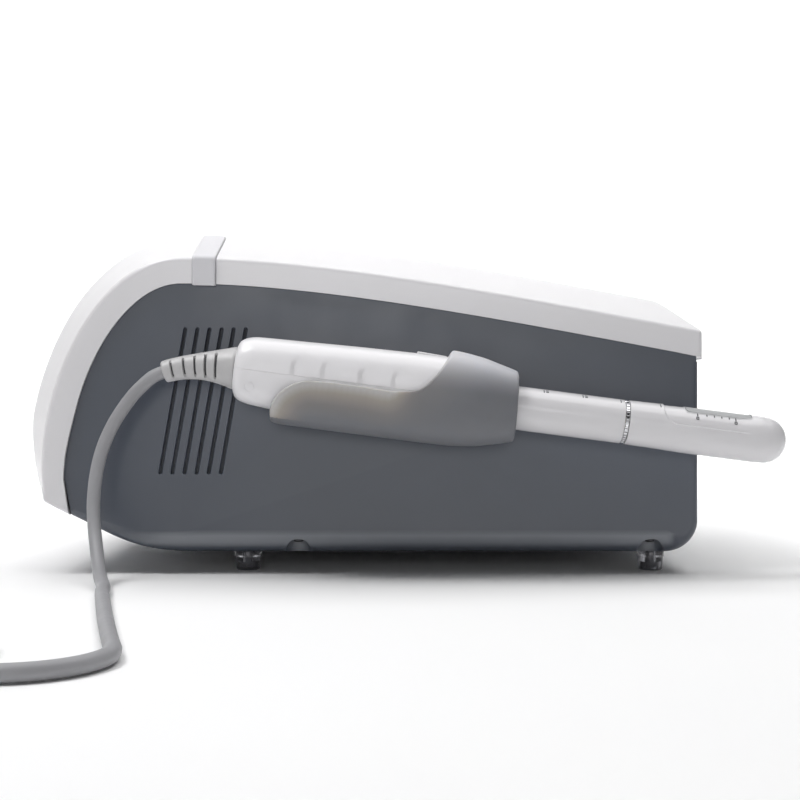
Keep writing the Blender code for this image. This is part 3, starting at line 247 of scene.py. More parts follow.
def smoothstep(a, b, x):
    t = min(max((x - a) / (b - a), 0.0), 1.0)
    return t * t * (3 - 2 * t)


def ease(table, s, col=1):
    """Smooth read of a station table: cubic pieces with limited slopes."""
    n = len(table)
    if s <= table[0][0]:
        return table[0][col]
    if s >= table[-1][0]:
        return table[-1][col]
    slopes = []
    for i in range(n):
        if i in (0, n - 1):
            j = 0 if i == 0 else n - 2
            slopes.append((table[j + 1][col] - table[j][col]) / (table[j + 1][0] - table[j][0]))
            continue
        d0 = (table[i][col] - table[i - 1][col]) / (table[i][0] - table[i - 1][0])
        d1 = (table[i + 1][col] - table[i][col]) / (table[i + 1][0] - table[i][0])
        slopes.append(0.0 if d0 * d1 <= 0 else 2 * d0 * d1 / (d0 + d1))
    for i in range(n - 1):
        if s <= table[i + 1][0]:
            h = table[i + 1][0] - table[i][0]
            t = (s - table[i][0]) / h
            return ((2 * t ** 3 - 3 * t * t + 1) * table[i][col] + (t ** 3 - 2 * t * t + t) * h * slopes[i]
                    + (-2 * t ** 3 + 3 * t * t) * table[i + 1][col] + (t ** 3 - t * t) * h * slopes[i + 1])


def spaced(a, b, step):
    c = max(1, round((b - a) / step))
    return [a + (b - a) * i / c for i in range(c + 1)]


def fillet(a, b, c, r, n=5):
    """n + 1 points that round the corner b between a and c with radius r."""
    a, b, c = Vector(a), Vector(b), Vector(c)
    u, w = a - b, c - b
    lu, lw = u.length, w.length
    if lu < 1e-6 or lw < 1e-6:
        return [tuple(b)] * (n + 1)
    u, w = u / lu, w / lw
    cosang = max(-1.0, min(1.0, u.dot(w)))
    half = math.acos(cosang) / 2
    if half > math.radians(89.5) or half < 0.01:
        return [tuple(b + u * (0.001 * (n - i)) if i < n / 2 else b + w * (0.001 * i)) for i in range(n + 1)]
    t = min(r / math.tan(half), lu * 0.45, lw * 0.45)
    p0, p2 = b + u * t, b + w * t
    out = []
    for i in range(n + 1):
        q = i / n
        k = math.sin(half)       # weight of the conic that is a circle
        den = (1 - q) ** 2 + 2 * k * q * (1 - q) + q * q
        out.append(tuple((p0 * (1 - q) ** 2 + b * (2 * k * q * (1 - q)) + p2 * q * q) / den))
    return out


def on_probe(s, y=0.0, n=0.0):
    v = D * s + N * n
    return Vector((PROBE_REF[0] + v.x, AXIS_Y + y, PROBE_REF[1] + v.z))


# ------------------------------------------------------------------ materials
def new_material(name):
    m = bpy.data.materials.new(name)
    m.use_nodes = True
    nt = m.node_tree
    return m, nt, nt.nodes["Principled BSDF"]


def noise(nt, scale, detail=2.0, rough=0.5, coords=None, stretch=None):
    t = nt.nodes.new("ShaderNodeTexNoise")
    t.inputs["Scale"].default_value = scale
    t.inputs["Detail"].default_value = detail
    t.inputs["Roughness"].default_value = rough
    src = coords
    if stretch:
        mp = nt.nodes.new("ShaderNodeMapping")
        mp.inputs["Scale"].default_value = stretch
        nt.links.new(coords, mp.inputs["Vector"])
        src = mp.outputs["Vector"]
    nt.links.new(src, t.inputs["Vector"])
    return t


def ramp(nt, fac, stops):
    r = nt.nodes.new("ShaderNodeValToRGB")
    els = r.color_ramp.elements
    while len(els) < len(stops):
        els.new(0.5)
    for e, (pos, col) in zip(els, stops):
        e.position = pos
        e.color = (*col, 1.0)
    nt.links.new(fac, r.inputs["Fac"])
    return r


def spread(nt, fac, lo, hi, src=(0.3, 0.7)):
    r = nt.nodes.new("ShaderNodeMapRange")
    r.inputs["From Min"].default_value, r.inputs["From Max"].default_value = src
    r.inputs["To Min"].default_value, r.inputs["To Max"].default_value = lo, hi
    nt.links.new(fac, r.inputs["Value"])
    return r


def tone(rgb, k):
    return tuple(min(1.0, c * k) for c in rgb)


def moulded(name, rgb, rough, vary=0.06, grain=2600.0, bump=0.08, depth=0.00004, cloud=9.0, coat=0.0, metal=0.0,
            spec=0.5, sss=0.0, fleck=0.0, rough_var=0.06, edge=0.0):
    """Moulded plastic or rubber: slow colour drift, fine grain, worn-in roughness."""
    m, nt, b = new_material(name)
    tc = nt.nodes.new("ShaderNodeTexCoord").outputs["Object"]
    slow = noise(nt, cloud, 3.0, 0.55, tc)
    fine = noise(nt, grain, 2.0, 0.6, tc)
    base = ramp(nt, slow.outputs["Fac"], [(0.28, tone(rgb, 1 - vary)), (0.5, rgb), (0.74, tone(rgb, 1 + vary))])
    col = base.outputs["Color"]
    if fleck:
        fl = ramp(nt, fine.outputs["Fac"], [(0.35, (1 - fleck,) * 3), (0.62, (1.0, 1.0, 1.0))])
        mx = nt.nodes.new("ShaderNodeMix")
        mx.data_type, mx.blend_type = "RGBA", "MULTIPLY"
        mx.inputs[0].default_value = 1.0
        nt.links.new(col, mx.inputs[6])
        nt.links.new(fl.outputs["Color"], mx.inputs[7])
        col = mx.outputs[2]
    if edge:
        geo = nt.nodes.new("ShaderNodeNewGeometry")
        worn = ramp(nt, geo.outputs["Pointiness"], [(0.50, (0.0,) * 3), (0.58, (edge,) * 3)])
        mx = nt.nodes.new("ShaderNodeMix")
        mx.data_type, mx.blend_type = "RGBA", "SCREEN"
        mx.inputs[0].default_value = 1.0
        nt.links.new(col, mx.inputs[6])
        nt.links.new(worn.outputs["Color"], mx.inputs[7])
        col = mx.outputs[2]
    nt.links.new(col, b.inputs["Base Color"])
    rub = noise(nt, cloud * 6.0, 5.0, 0.65, tc)
    nt.links.new(spread(nt, rub.outputs["Fac"], rough - rough_var, rough + rough_var).outputs["Result"], b.inputs["Roughness"])
    bp = nt.nodes.new("ShaderNodeBump")
    bp.inputs["Strength"].default_value = bump
    bp.inputs["Distance"].default_value = depth
    nt.links.new(fine.outputs["Fac"], bp.inputs["Height"])
    nt.links.new(bp.outputs["Normal"], b.inputs["Normal"])
    b.inputs["Specular IOR Level"].default_value = spec
    b.inputs["Metallic"].default_value = metal
    if coat:
        b.inputs["Coat Weight"].default_value = coat
        b.inputs["Coat Roughness"].default_value = 0.12
    if sss:
        b.inputs["Subsurface Weight"].default_value = sss
        b.inputs["Subsurface Radius"].default_value = (1.0, 0.75, 0.55)
        b.inputs["Subsurface Scale"].default_value = 0.004
    return m


def metal(name, rgb, rough, brushed=(1.0, 1.0, 1.0), scale=900.0, bump=0.15, vary=0.08):
    m, nt, b = new_material(name)
    tc = nt.nodes.new("ShaderNodeTexCoord").outputs["Object"]
    br = noise(nt, scale, 3.0, 0.6, tc, stretch=brushed)
    slow = noise(nt, 40.0, 2.0, 0.5, tc)
    base = ramp(nt, slow.outputs["Fac"], [(0.3, tone(rgb, 1 - vary)), (0.7, tone(rgb, 1 + vary))])
    nt.links.new(base.outputs["Color"], b.inputs["Base Color"])
    nt.links.new(spread(nt, br.outputs["Fac"], rough * 0.75, rough * 1.3).outputs["Result"], b.inputs["Roughness"])
    bp = nt.nodes.new("ShaderNodeBump")
    bp.inputs["Strength"].default_value = bump
    bp.inputs["Distance"].default_value = 0.00003
    nt.links.new(br.outputs["Fac"], bp.inputs["Height"])
    nt.links.new(bp.outputs["Normal"], b.inputs["Normal"])
    b.inputs["Metallic"].default_value = 1.0
    return m


def clear(name, rgb, rough, weight, ior=1.49):
    m, nt, b = new_material(name)
    tc = nt.nodes.new("ShaderNodeTexCoord").outputs["Object"]
    slow = noise(nt, 120.0, 3.0, 0.5, tc)
    base = ramp(nt, slow.outputs["Fac"], [(0.3, tone(rgb, 0.9)), (0.7, tone(rgb, 1.05))])
    nt.links.new(base.outputs["Color"], b.inputs["Base Color"])
    nt.links.new(spread(nt, slow.outputs["Fac"], rough * 0.7, rough * 1.4).outputs["Result"], b.inputs["Roughness"])
    b.inputs["Transmission Weight"].default_value = weight
    b.inputs["IOR"].default_value = ior
    return m


COVER = moulded("white_gloss_plastic", (0.76, 0.75, 0.77), 0.22, vary=0.012, grain=900.0, bump=0.015, cloud=5.0, coat=0.25, rough_var=0.015)
BAND = moulded("seam_band_plastic", (0.66, 0.655, 0.685), 0.30, vary=0.012, grain=900.0, bump=0.015, coat=0.1, rough_var=0.015)
SLATE = moulded("slate_plastic", (0.050, 0.061, 0.085), 0.33, spec=1.0, vary=0.05, grain=1500.0, bump=0.22, depth=0.00006, cloud=6.0, fleck=0.05, rough_var=0.05)
PROBE = moulded("probe_white_plastic", (0.725, 0.715, 0.735), 0.20, vary=0.012, grain=1200.0, bump=0.02, cloud=14.0, coat=0.35, rough_var=0.025)
# handle and button: a less glossy copy of the probe's white plastic, made lighter as painted light for the brighter
# handle top
SHELLM = moulded("handle_white_plastic", (0.835, 0.825, 0.845), 0.30, vary=0.012, grain=1200.0, bump=0.02, cloud=14.0, coat=0.12, rough_var=0.025)
CORDM = moulded("cord_pvc", (0.33, 0.33, 0.345), 0.48, vary=0.05, grain=2400.0, bump=0.12, cloud=30.0, spec=0.4)
BOOT = moulded("relief_pvc", (0.52, 0.515, 0.52), 0.38, vary=0.05, grain=2200.0, bump=0.12, cloud=60.0, spec=0.45)
BLACKP = moulded("black_plastic", (0.022, 0.022, 0.024), 0.46, vary=0.15, grain=1500.0, bump=0.25, cloud=20.0, fleck=0.15)
PCB = moulded("circuit_board", (0.02, 0.13, 0.055), 0.42, vary=0.3, grain=700.0, bump=0.2, cloud=60.0)
STEEL = metal("steel", (0.56, 0.56, 0.58), 0.30)
ALU = metal("aluminium", (0.66, 0.67, 0.69), 0.38, brushed=(1.0, 14.0, 14.0))
BRASS = metal("brass", (0.72, 0.52, 0.22), 0.30)
DARK_STEEL = metal("blackened_steel", (0.09, 0.09, 0.095), 0.45)
CHROME = metal("chrome", (0.80, 0.80, 0.82), 0.09, scale=300.0, bump=0.03, vary=0.03)
SMOKY = clear("smoky_foot", (0.36, 0.36, 0.385), 0.14, 0.85)
FILM = clear("membrane_film", (0.58, 0.59, 0.60), 0.42, 0.25, 1.33)
# near-black slit floors: painted shade
SLIT_SHADE = moulded("relief_slit_shade", (0.055, 0.055, 0.058), 0.6, vary=0.1, grain=2000.0, bump=0.05)
INK = moulded("printed_ink", (0.07, 0.07, 0.08), 0.5, vary=0.1, grain=4000.0, bump=0.02)
FILL = {"power_supply": STEEL, "drive_motor": STEEL, "drive_screw": STEEL, "transducer": STEEL, "push_rod": BRASS, "chassis_plate": ALU, "heat_sink": ALU,
        "processor_heat_spreader": ALU, "handpiece_socket": CHROME, "main_board": PCB, "driver_board": PCB, "handle_board": PCB, "transducer_lens": FILM}
for node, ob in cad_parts.items():
    ob.data.materials.clear()
    ob.data.materials.append(STEEL if "screw" in node else FILL.get(node, BLACKP))


# ------------------------------------------------------------------ the cord, first
def catmull(points, step):
    pts = [Vector(p) for p in points]
    pts = [2 * pts[0] - pts[1]] + pts + [2 * pts[-1] - pts[-2]]
    dense = []
    for i in range(1, len(pts) - 2):
        p0, p1, p2, p3 = pts[i - 1:i + 3]
        for k in range(24):
            t = k / 24
            dense.append(0.5 * ((2 * p1) + (p2 - p0) * t + (2 * p0 - 5 * p1 + 4 * p2 - p3) * t * t + (3 * p1 - p0 - 3 * p2 + p3) * t ** 3))
    dense.append(pts[-2])
    total = sum((b - a).length for a, b in zip(dense[:-1], dense[1:]))
    count = max(2, round(total / step))
    out, run, want = [dense[0]], 0.0, total / count
    for a, b in zip(dense[:-1], dense[1:]):
        seg = (b - a).length
        while run + seg >= want - 1e-9 and len(out) < count:
            f = (want - run) / seg if seg else 0
            out.append(a + (b - a) * f)
            want += total / count
        run += seg
    out.append(dense[-1])
    return out, total


R0 = on_probe(-161.0 - GAP, 0, PART_N)
R0, R1, R2 = (R0.x, R0.z), (-128.6, 140.5), (-147.7, 134.5)
RELIEF_R = ((0.0, 14.2), (0.12, 12.2), (0.28, 10.2), (0.45, 8.7), (0.64, 7.75), (1.0, 7.05))


def relief_point(t):
    return tuple((1 - t) ** 2 * R0[i] + 2 * (1 - t) * t * R1[i] + t * t * R2[i] for i in range(2))


def relief_dir(t):
    v = [2 * ((1 - t) * (R1[i] - R0[i]) + t * (R2[i] - R1[i])) for i in range(2)]
    q = math.hypot(*v)
    return v[0] / q, v[1] / q


rd = relief_dir(1.0)
EXIT = Vector((R2[0] + rd[0] * 0.4, AXIS_Y, R2[1] + rd[1] * 0.4))
DROP = [EXIT, (-152.6, AXIS_Y, 132.6), (-157.2, AXIS_Y, 129.6), (-167.1, AXIS_Y, 120.0), (-176.6, AXIS_Y, 107.0), (-183.6, AXIS_Y, 94.2),
        (-188.4, AXIS_Y - 0.5, 81.0), (-191.2, AXIS_Y - 1.5, 67.0), (-192.1, AXIS_Y - 4.0, 52.5), (-190.8, AXIS_Y - 9.0, 38.5),
        (-187.6, AXIS_Y - 17.5, 25.5), (-183.4, AXIS_Y - 30.0, 14.5), (-178.4, AXIS_Y - 46.0, 7.6), (-172.6, AXIS_Y - 64.0, CORD_Z)]
FLOOR = [(-169.0, AXIS_Y - 84.0, CORD_Z), (-164.0, AXIS_Y - 106.0, CORD_Z), (-158.8, AXIS_Y - 128.0, CORD_Z), (-153.5, AXIS_Y - 150.0, CORD_Z),
         (-148.2, AXIS_Y - 172.0, CORD_Z), (-141.2, AXIS_Y - 200.0, CORD_Z), (-133.6, AXIS_Y - 230.0, CORD_Z), (-127.0, AXIS_Y - 255.0, CORD_Z), (-124.0, -424.0, CORD_Z), (-122.8, -439.3, CORD_Z),
         (-127.2, -454.0, CORD_Z), (-136.5, -466.1, CORD_Z), (-149.6, -474.1, CORD_Z), (-164.6, -476.9, CORD_Z), (-183.0, -476.9, CORD_Z), (COIL_C[0] + 39.8, COIL_C[1] - COIL_R, CORD_Z)]
LAYER = (5.45, 14.05)
TURNS = 3.25


def coil_point(u):
    """u turns after the near side of the coil, seen from above the cord runs clockwise."""
    f = smoothstep(0.74, 0.92, u)            # outer bottom to inner bottom
    g = smoothstep(1.55, 1.76, u)            # up a layer
    h = smoothstep(2.34, 2.53, u)            # out again
    r = COIL_R + 4.3 - 8.6 * f + 8.6 * h
    z = LAYER[0] + (LAYER[1] - LAYER[0]) * g
    a = math.radians(-90.0 - 360.0 * u)
    return Vector((COIL_C[0] + r * math.cos(a), COIL_C[1] + r * math.sin(a), z))


route = DROP + FLOOR[:-1] + [(COIL_C[0] + 56.0, COIL_C[1] - COIL_R + 0.2, CORD_Z + 0.1), (COIL_C[0] + 39.8, COIL_C[1] - COIL_R - 1.2, CORD_Z + 0.4), (COIL_C[0] + 18.0, COIL_C[1] - COIL_R - 3.6, CORD_Z + 0.8)]
steps = int(TURNS * 28)
route += [coil_point(TURNS * i / steps) for i in range(steps + 1)]
PLUG_X, PLUG_Y, PLUG_Z = COIL_C[0] - COIL_R - 0.8, COIL_C[1] + 37.6, 9.6
route += [(COIL_C[0] - COIL_R - 3.9, COIL_C[1] + 12.0, 13.5), (COIL_C[0] - COIL_R - 2.6, COIL_C[1] + 24.0, 11.8), (PLUG_X - 0.2, COIL_C[1] + 34.0, 10.3), (PLUG_X, COIL_C[1] + 43.0, PLUG_Z)]
path, cord_length = catmull(route, 2.6)
for q in path:
    q.z = max(q.z, CORD_Z)


def sweep(pts, radius, n=14):
    """A round tube along pts with no twist."""
    rings = []
    t0 = (pts[1] - pts[0]).normalized()
    u = t0.orthogonal().normalized()
    for i, p in enumerate(pts):
        a, b = pts[max(i - 1, 0)], pts[min(i + 1, len(pts) - 1)]
        t = (b - a).normalized()
        u = (u - t * u.dot(t)).normalized()
        w = t.cross(u)
        r = radius(i) if callable(radius) else radius
        rings.append([p + (u * math.cos(2 * math.pi * k / n) + w * math.sin(2 * math.pi * k / n)) * r for k in range(n)])
    return rings


cord = Shape().loft(sweep(path, CORD_D / 2 - 0.05)).make("handpiece_cord", CORDM, smooth=60.0)
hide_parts("cord_upper", "cord_lower", "cord_coil")
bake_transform(cord)

# connector: cable boot, knurled coupling sleeve and pin shell, along +Y
boot = []
for i in range(47):
    t = i / 46
    y = PLUG_Y + 24.0 * t
    r = 4.9 + 3.0 * t ** 0.8
    if 0.12 < t < 0.86 and (i % 6) in (3, 4):
        r -= 0.8
    boot.append((y - PLUG_Y, r))
prof = boot + [(24.6, 8.9), (26.0, 9.2), (38.0, 9.2), (39.2, 8.8), (39.6, 8.2), (51.4, 8.2), (52.0, 7.8)]
sleeve = Shape()
knurl = []
nk = 72
for t, r in prof:
    ring = []
    for i in range(nk):
        a = 2 * math.pi * i / nk
        q = r - (0.35 if 26.0 <= t <= 38.0 and i % 3 == 2 else 0.0)
        ring.append(Vector((PLUG_X + q * math.cos(a), PLUG_Y + t, PLUG_Z + q * math.sin(a))))
    knurl.append(ring)
sleeve.loft(knurl)
connector = sleeve.make("cord_connector_fine", BLACKP, smooth=40.0)
shell = Shape().tube((PLUG_X, PLUG_Y + 51.4, PLUG_Z), (0, 1, 0), [(0.0, 7.7), (0.4, 7.9), (0.4, 7.0), (-3.0, 7.0), (-3.0, 7.4)], 48).make("connector_shell", CHROME, smooth=40.0)
piece(connector, "console", "black_plastic", "cord_connector")
piece(shell, "console", "chrome")
# tie: a strap with a buckle head round the bundle
TX, TY = COIL_C[0], COIL_C[1] - COIL_R
ring = []
z0, z1 = 0.75, 18.75
y0, y1 = TY - CORD_D - 0.6, TY + CORD_D + 1.2
outline = []
for cy, cz, a0 in ((y1 - 3.0, z1 - 3.0, 0), (y0 + 3.0, z1 - 3.0, 90), (y0 + 3.0, z0 + 3.0, 180), (y1 - 3.0, z0 + 3.0, 270)):
    for k in range(7):
        a = math.radians(a0 + 15.0 * k)
        outline.append((cy + 3.0 * math.cos(a), cz + 3.0 * math.sin(a), math.cos(a), math.sin(a)))
rings = []
for cy, cz, ny, nz in outline:
    rings.append([(TX - 3.4, cy, cz), (TX - 3.1, cy + ny * 0.8, cz + nz * 0.8), (TX + 3.1, cy + ny * 0.8, cz + nz * 0.8), (TX + 3.4, cy, cz)])
tie = Shape().loft(rings, close=True)
tie.box((TX - 3.9, TY - 3.4, z1 - 0.1), (TX + 3.9, TY + 3.4, z1 + 1.0), 0.3)
tie = tie.make("cord_tie_fine", BLACKP, smooth=40.0)
piece(tie, "console", "black_plastic", "cord_tie")

# strain relief: slits cut into both sides of a drooping, tapered boot
SLITS = (0.225, 0.36, 0.503, 0.66, 0.845)
NR, NT = 72, 150
rings = []
for i in range(NT + 1):
    t = i / NT
    (x, z), (dx, dz) = relief_point(t), relief_dir(t)
    r = ease(RELIEF_R, t)
    if t < 0.035:
        r -= 0.9 * (1 - t / 0.035) ** 2
    if t > 0.97:
        r -= 0.7 * ((t - 0.97) / 0.03) ** 2
    ring = []
    for k in range(NR):
        a = 2 * math.pi * k / NR
        q = r
        side = abs(math.sin(a))                # 1 on the near and far sides, 0 above and below
        for j, c in enumerate(SLITS):
            w = abs(t - c)
            if w < 0.017:
                q -= (2.6 - 0.7 * t) * (1 - smoothstep(0.011, 0.017, w)) * smoothstep(0.52 + 0.1 * t, 0.62 + 0.1 * t, side)
        ring.append(Vector((x + dz * q * math.cos(a), AXIS_Y + q * math.sin(a), z - dx * q * math.cos(a))))
    rings.append(ring)
relief = Shape().loft(rings).make("strain_relief_fine", BOOT, smooth=50.0)
piece(relief, "handpiece", "cord_grey", "strain_relief")
# dark floors inside the slits: painted shade deep in the grooves
core = Shape()
for c in SLITS:
    rings = []
    for t in (c - 0.0145, c, c + 0.0145):
        (x, z), (dx, dz) = relief_point(t), relief_dir(t)
        q = ease(RELIEF_R, t) - 1.9 + 0.45 * t
        rings.append([Vector((x + dz * q * math.cos(a), AXIS_Y + q * math.sin(a), z - dx * q * math.cos(a))) for a in [2 * math.pi * k / NR for k in range(NR)]])
    core.loft(rings)
piece(core.make("relief_slit_floors", SLIT_SHADE, smooth=50.0), "handpiece", "cord_grey")
print("cord length", round(cord_length, 1))


# ------------------------------------------------------------------ covers
def raw_shoulder(count=400):
    pts = []
    for i in range(count):
        t = i / count
        pts.append((bezier(SHOULDER_TOP, t), bezier_dir(SHOULDER_TOP, t)))
    for i in range(count + 1):
        t = i / count
        pts.append((bezier(SHOULDER_FRONT, t), bezier_dir(SHOULDER_FRONT, t)))
    out, run = [], 0.0
    for k, (p, d) in enumerate(pts):
        if k:
            run += math.hypot(p[0] - pts[k - 1][0][0], p[1] - pts[k - 1][0][1])
        out.append((run, p, (d[1], -d[0])))
    return out


RAW = raw_shoulder()
RUN = RAW[-1][0]
LIP_RUN = RUN + math.hypot(LIP_P[0] - SHOULDER_FRONT[3][0], LIP_P[1] - SHOULDER_FRONT[3][1])


def station(run):
    for a, b in zip(RAW[:-1], RAW[1:]):
        if run <= b[0]:
            f = (run - a[0]) / max(b[0] - a[0], 1e-9)
            p = tuple(a[1][i] + (b[1][i] - a[1][i]) * f for i in range(2))
            n = tuple(a[2][i] + (b[2][i] - a[2][i]) * f for i in range(2))
            q = math.hypot(*n)
            return p, (n[0] / q, n[1] / q)
    return RAW[-1][1], RAW[-1][2]


def run_at_x(x):
    for a, b in zip(RAW[:-1], RAW[1:]):
        if (a[1][0] - x) * (b[1][0] - x) <= 0:
            return a[0] + (b[0] - a[0]) * (a[1][0] - x) / (a[1][0] - b[1][0])
    return None


SEAM_RUN = (run_at_x(SEAM_X[1]), run_at_x(SEAM_X[0]))


def rise(run):
    return RISE_TOP + (RISE_FRONT - RISE_TOP) * smoothstep(SEAM_RUN[0], SEAM_RUN[1] + 90.0, run)


def ramp_up(t, soft=0.16):
    if t <= 1 - soft:
        return max(t, 0.0)
    if t < 1 + soft:
        return 1 - (1 + soft - t) ** 2 / (4 * soft)
    return 1.0


def bevel_part(run):
    return min(ramp_up(run / REAR_BEVEL), ramp_up((LIP_RUN - run) / FRONT_BEVEL))


def band_width(run):
    return BAND_W - 3.0 * smoothstep(RUN - 60.0, RUN - 5.0, run)


def screen_boss(run):
    a = SEAM_RUN[1] + 18.0
    return 6.5 * smoothstep(a, a + 12.0, run) * (1 - smoothstep(RUN - 52.0, RUN - 40.0, run))


def coarse_section(run, half, top_cut, deep, p=None, n=None, wall=0.0):
    if p is None:
        p, n = station(run)
    u = max(min(run / REAR_BEVEL, (LIP_RUN - run) / FRONT_BEVEL, 1.0), 0.0)
    h, inset, q = rise(run) * u, BEVEL_IN * u, wall * 0.55
    rows = ((half, -deep), (half, -top_cut), (half - inset - q, h - top_cut),
            (-(half - inset - q), h - top_cut), (-half, -top_cut), (-half, -deep))
    if u <= 0.0:
        rows = ((half, -deep), (half, -top_cut), (half * 0.72, -top_cut),
                (-half * 0.72, -top_cut), (-half, -top_cut), (-half, -deep))
    return [(p[0] + n[0] * k, MID_Y - y, p[1] + n[1] * k) for y, k in rows]


def cover_ring(run, half, deep, p, n, drop=0.0, r1=3.2, r2=9.0):
    """Across the cover: rounded shoulder and rounded plateau edge on both sides."""
    u = max(bevel_part(run), 0.02)
    h, inset = rise(run) * u, BEVEL_IN * u
    foot, sh, pl, mid = (half, -deep), (half, 0.0), (half - inset, h), (0.0, h)
    near = [foot, (half, -deep * 0.5)] + fillet(foot, sh, pl, r1, 6) + fillet(sh, pl, mid, r2, 8)
    flat = [((half - inset - 9.0) * k, h) for k in (0.75, 0.4, 0.0)]
    ring = near + flat + [(-y, k) for y, k in (near + flat[:-1])[::-1]]
    return [(p[0] + n[0] * (k - drop), MID_Y - y, p[1] + n[1] * (k - drop)) for y, k in ring]


def mix2(a, b, t):
    v = tuple(a[i] + (b[i] - a[i]) * t for i in range(2))
    return v


def unit2(v):
    q = math.hypot(*v)
    return v[0] / q, v[1] / q


rings = []
for r in (0.05, 0.35, 0.9, 1.7, 2.6, 4.0, 6.5, 9.5, 13.0, 17.0, 20.0, 22.5, 25.0, 27.5, 31.0) + tuple(spaced(38.0, SEAM_RUN[0] - 4.0, 8.0)) + (SEAM_RUN[0] - 0.3,):
    p, n = station(r)
    t = smoothstep(0.0, 16.0, r)
    n = unit2(mix2((0.0, 1.0), n, t))
    if r > SEAM_RUN[0] - 1.0:
        n = (0.0, 1.0)
    e = 1.0 - min(r / 2.6, 1.0)
    rnd = 1.0 - math.sqrt(max(1.0 - e * e, 0.0))
    rings.append(cover_ring(r, BAND_OUT - 2.6 * rnd, BAND_W + 0.5 * (1 - t), (min(p[0], COVER_REAR_X), p[1]), n, drop=1.6 * rnd))
cover = Shape().loft(rings).make("rear_cover", COVER)
ih = BAND_OUT - SKIN
inner = []
zt = SHOULDER_TOP[0][1] - SKIN - 0.2
inner.append([(COVER_REAR_X - SKIN, MID_Y - y, z) for y, z in ((ih, 100.0), (ih, zt), (ih * 0.72, zt), (-ih * 0.72, zt), (-ih, zt), (-ih, 100.0))])
for r in [8.0, 16.0, REAR_BEVEL] + spaced(REAR_BEVEL, SEAM_RUN[0] + 12.0, 34.0)[1:]:
    inner.append(coarse_section(r, ih, SKIN, 40.0, wall=SKIN))
carve(cover, Shape().loft(inner).make("cut"), smooth=30.0, weighted=True)
piece(cover, "console", "cover_white", "rear_top_cover")

# front bezel
ln = math.hypot(LIP_Q[0] - LIP_P[0], LIP_Q[1] - LIP_P[1])
lip_n = ((LIP_P[0] - LIP_Q[0]) / ln, (LIP_P[1] - LIP_Q[1]) / ln)
rings = []
last = LIP_RUN - 14.0
for r in [SEAM_RUN[1] + 0.3, SEAM_RUN[1] + 4.0] + spaced(SEAM_RUN[1] + 9.0, last, 5.0):
    p, n = station(r)
    if r < SEAM_RUN[1] + 1.0:
        n = (0.0, 1.0)
    rings.append(cover_ring(r, BAND_OUT, band_width(r), p, n))
p0, n0 = station(last)
w0 = band_width(last)
f0 = (p0[0] - n0[0] * w0, p0[1] - n0[1] * w0)
for i in range(1, 13):
    t = i / 12
    r = last + (LIP_RUN - last) * t
    e = max(0.0, (t - 0.86) / 0.14)
    rnd = 1.0 - math.sqrt(max(1.0 - e * e, 0.0))
    pt, ft = mix2(p0, LIP_P, t), mix2(f0, LIP_Q, t)
    gap = math.hypot(pt[0] - ft[0], pt[1] - ft[1])
    rings.append(cover_ring(min(r, LIP_RUN - 0.1), BAND_OUT - 1.6 * rnd, gap - 0.6 * rnd, pt, ((pt[0] - ft[0]) / gap, (pt[1] - ft[1]) / gap), drop=1.2 * rnd))
bezel = Shape().loft(rings).make("front_cover", COVER)
inner = []
for r in [SEAM_RUN[1] - 12.0] + spaced(SEAM_RUN[1] + 9.0, LIP_RUN - FRONT_BEVEL, 11.0) + [LIP_RUN - 30.0, LIP_RUN - 14.0]:
    inner.append(coarse_section(r, ih, SKIN + screen_boss(r), 45.0, wall=SKIN))
inner.append(coarse_section(LIP_RUN, ih, SKIN, 30.0, p=(LIP_P[0] - 0.2, LIP_P[1] + 3.2), n=lip_n))
SCREEN_TOP, SCREEN_BOT = (-212.7, 194.1), (-250.6, 112.0)
sl = math.hypot(SCREEN_TOP[0] - SCREEN_BOT[0], SCREEN_TOP[1] - SCREEN_BOT[1])
SU = Vector(((SCREEN_TOP[0] - SCREEN_BOT[0]) / sl, 0, (SCREEN_TOP[1] - SCREEN_BOT[1]) / sl))
SN = Vector((-SU.z, 0, SU.x))
SC = Vector(((SCREEN_TOP[0] + SCREEN_BOT[0]) / 2, MID_Y, (SCREEN_TOP[1] + SCREEN_BOT[1]) / 2))


def rounded(wide, high, corner, seg=8):
    pts = []
    for cx, cy, a0 in ((1, 1, 0), (-1, 1, 90), (-1, -1, 180), (1, -1, 270)):
        for i in range(seg + 1):
            a = math.radians(a0 + 90.0 * i / seg)
            pts.append((cx * (wide / 2 - corner) + corner * math.cos(a), cy * (high / 2 - corner) + corner * math.sin(a)))
    return pts


def on_screen(pts, n):
    return [SC + Vector((0, 1, 0)) * a + SU * b + SN * n for a, b in pts]


cut_inner = Shape().loft(inner).make("cut")
cut_screen = Shape().loft([on_screen(rounded(172.0, 80.0, 3.0), -30.0), on_screen(rounded(172.0, 80.0, 3.0), -0.4), on_screen(rounded(173.6, 81.6, 3.8), 1.0), on_screen(rounded(200.0, 108.0, 10.0), 22.0)]).make("cut2")
carve(bezel, cut_inner, cut_screen, smooth=30.0, weighted=True)
piece(bezel, "console", "cover_white", "front_bezel")

# touchscreen glass: black border, and a faintly lighter display area behind it
GLASSM = moulded("screen_glass", (0.010, 0.010, 0.012), 0.06, vary=0.1, grain=400.0, bump=0.01, coat=0.6, rough_var=0.02)
glass = Shape().loft([on_screen(rounded(171.2, 79.2, 2.7), -3.0), on_screen(rounded(171.2, 79.2, 2.7), -1.6), on_screen(rounded(170.4, 78.4, 2.5), -1.2)]).make("touchscreen", GLASSM, smooth=25.0, weighted=True)
piece(glass, "console", "screen_glass", "touchscreen_glass")
LCD = moulded("display_off", (0.018, 0.021, 0.028), 0.16, vary=0.05, grain=3000.0, bump=0.01)
lcd = Shape().loft([on_screen(rounded(155.0, 65.5, 0.8), -1.21), on_screen(rounded(155.0, 65.5, 0.8), -1.16)]).make("display_area", LCD, smooth=25.0)
piece(lcd, "console", "screen_glass")


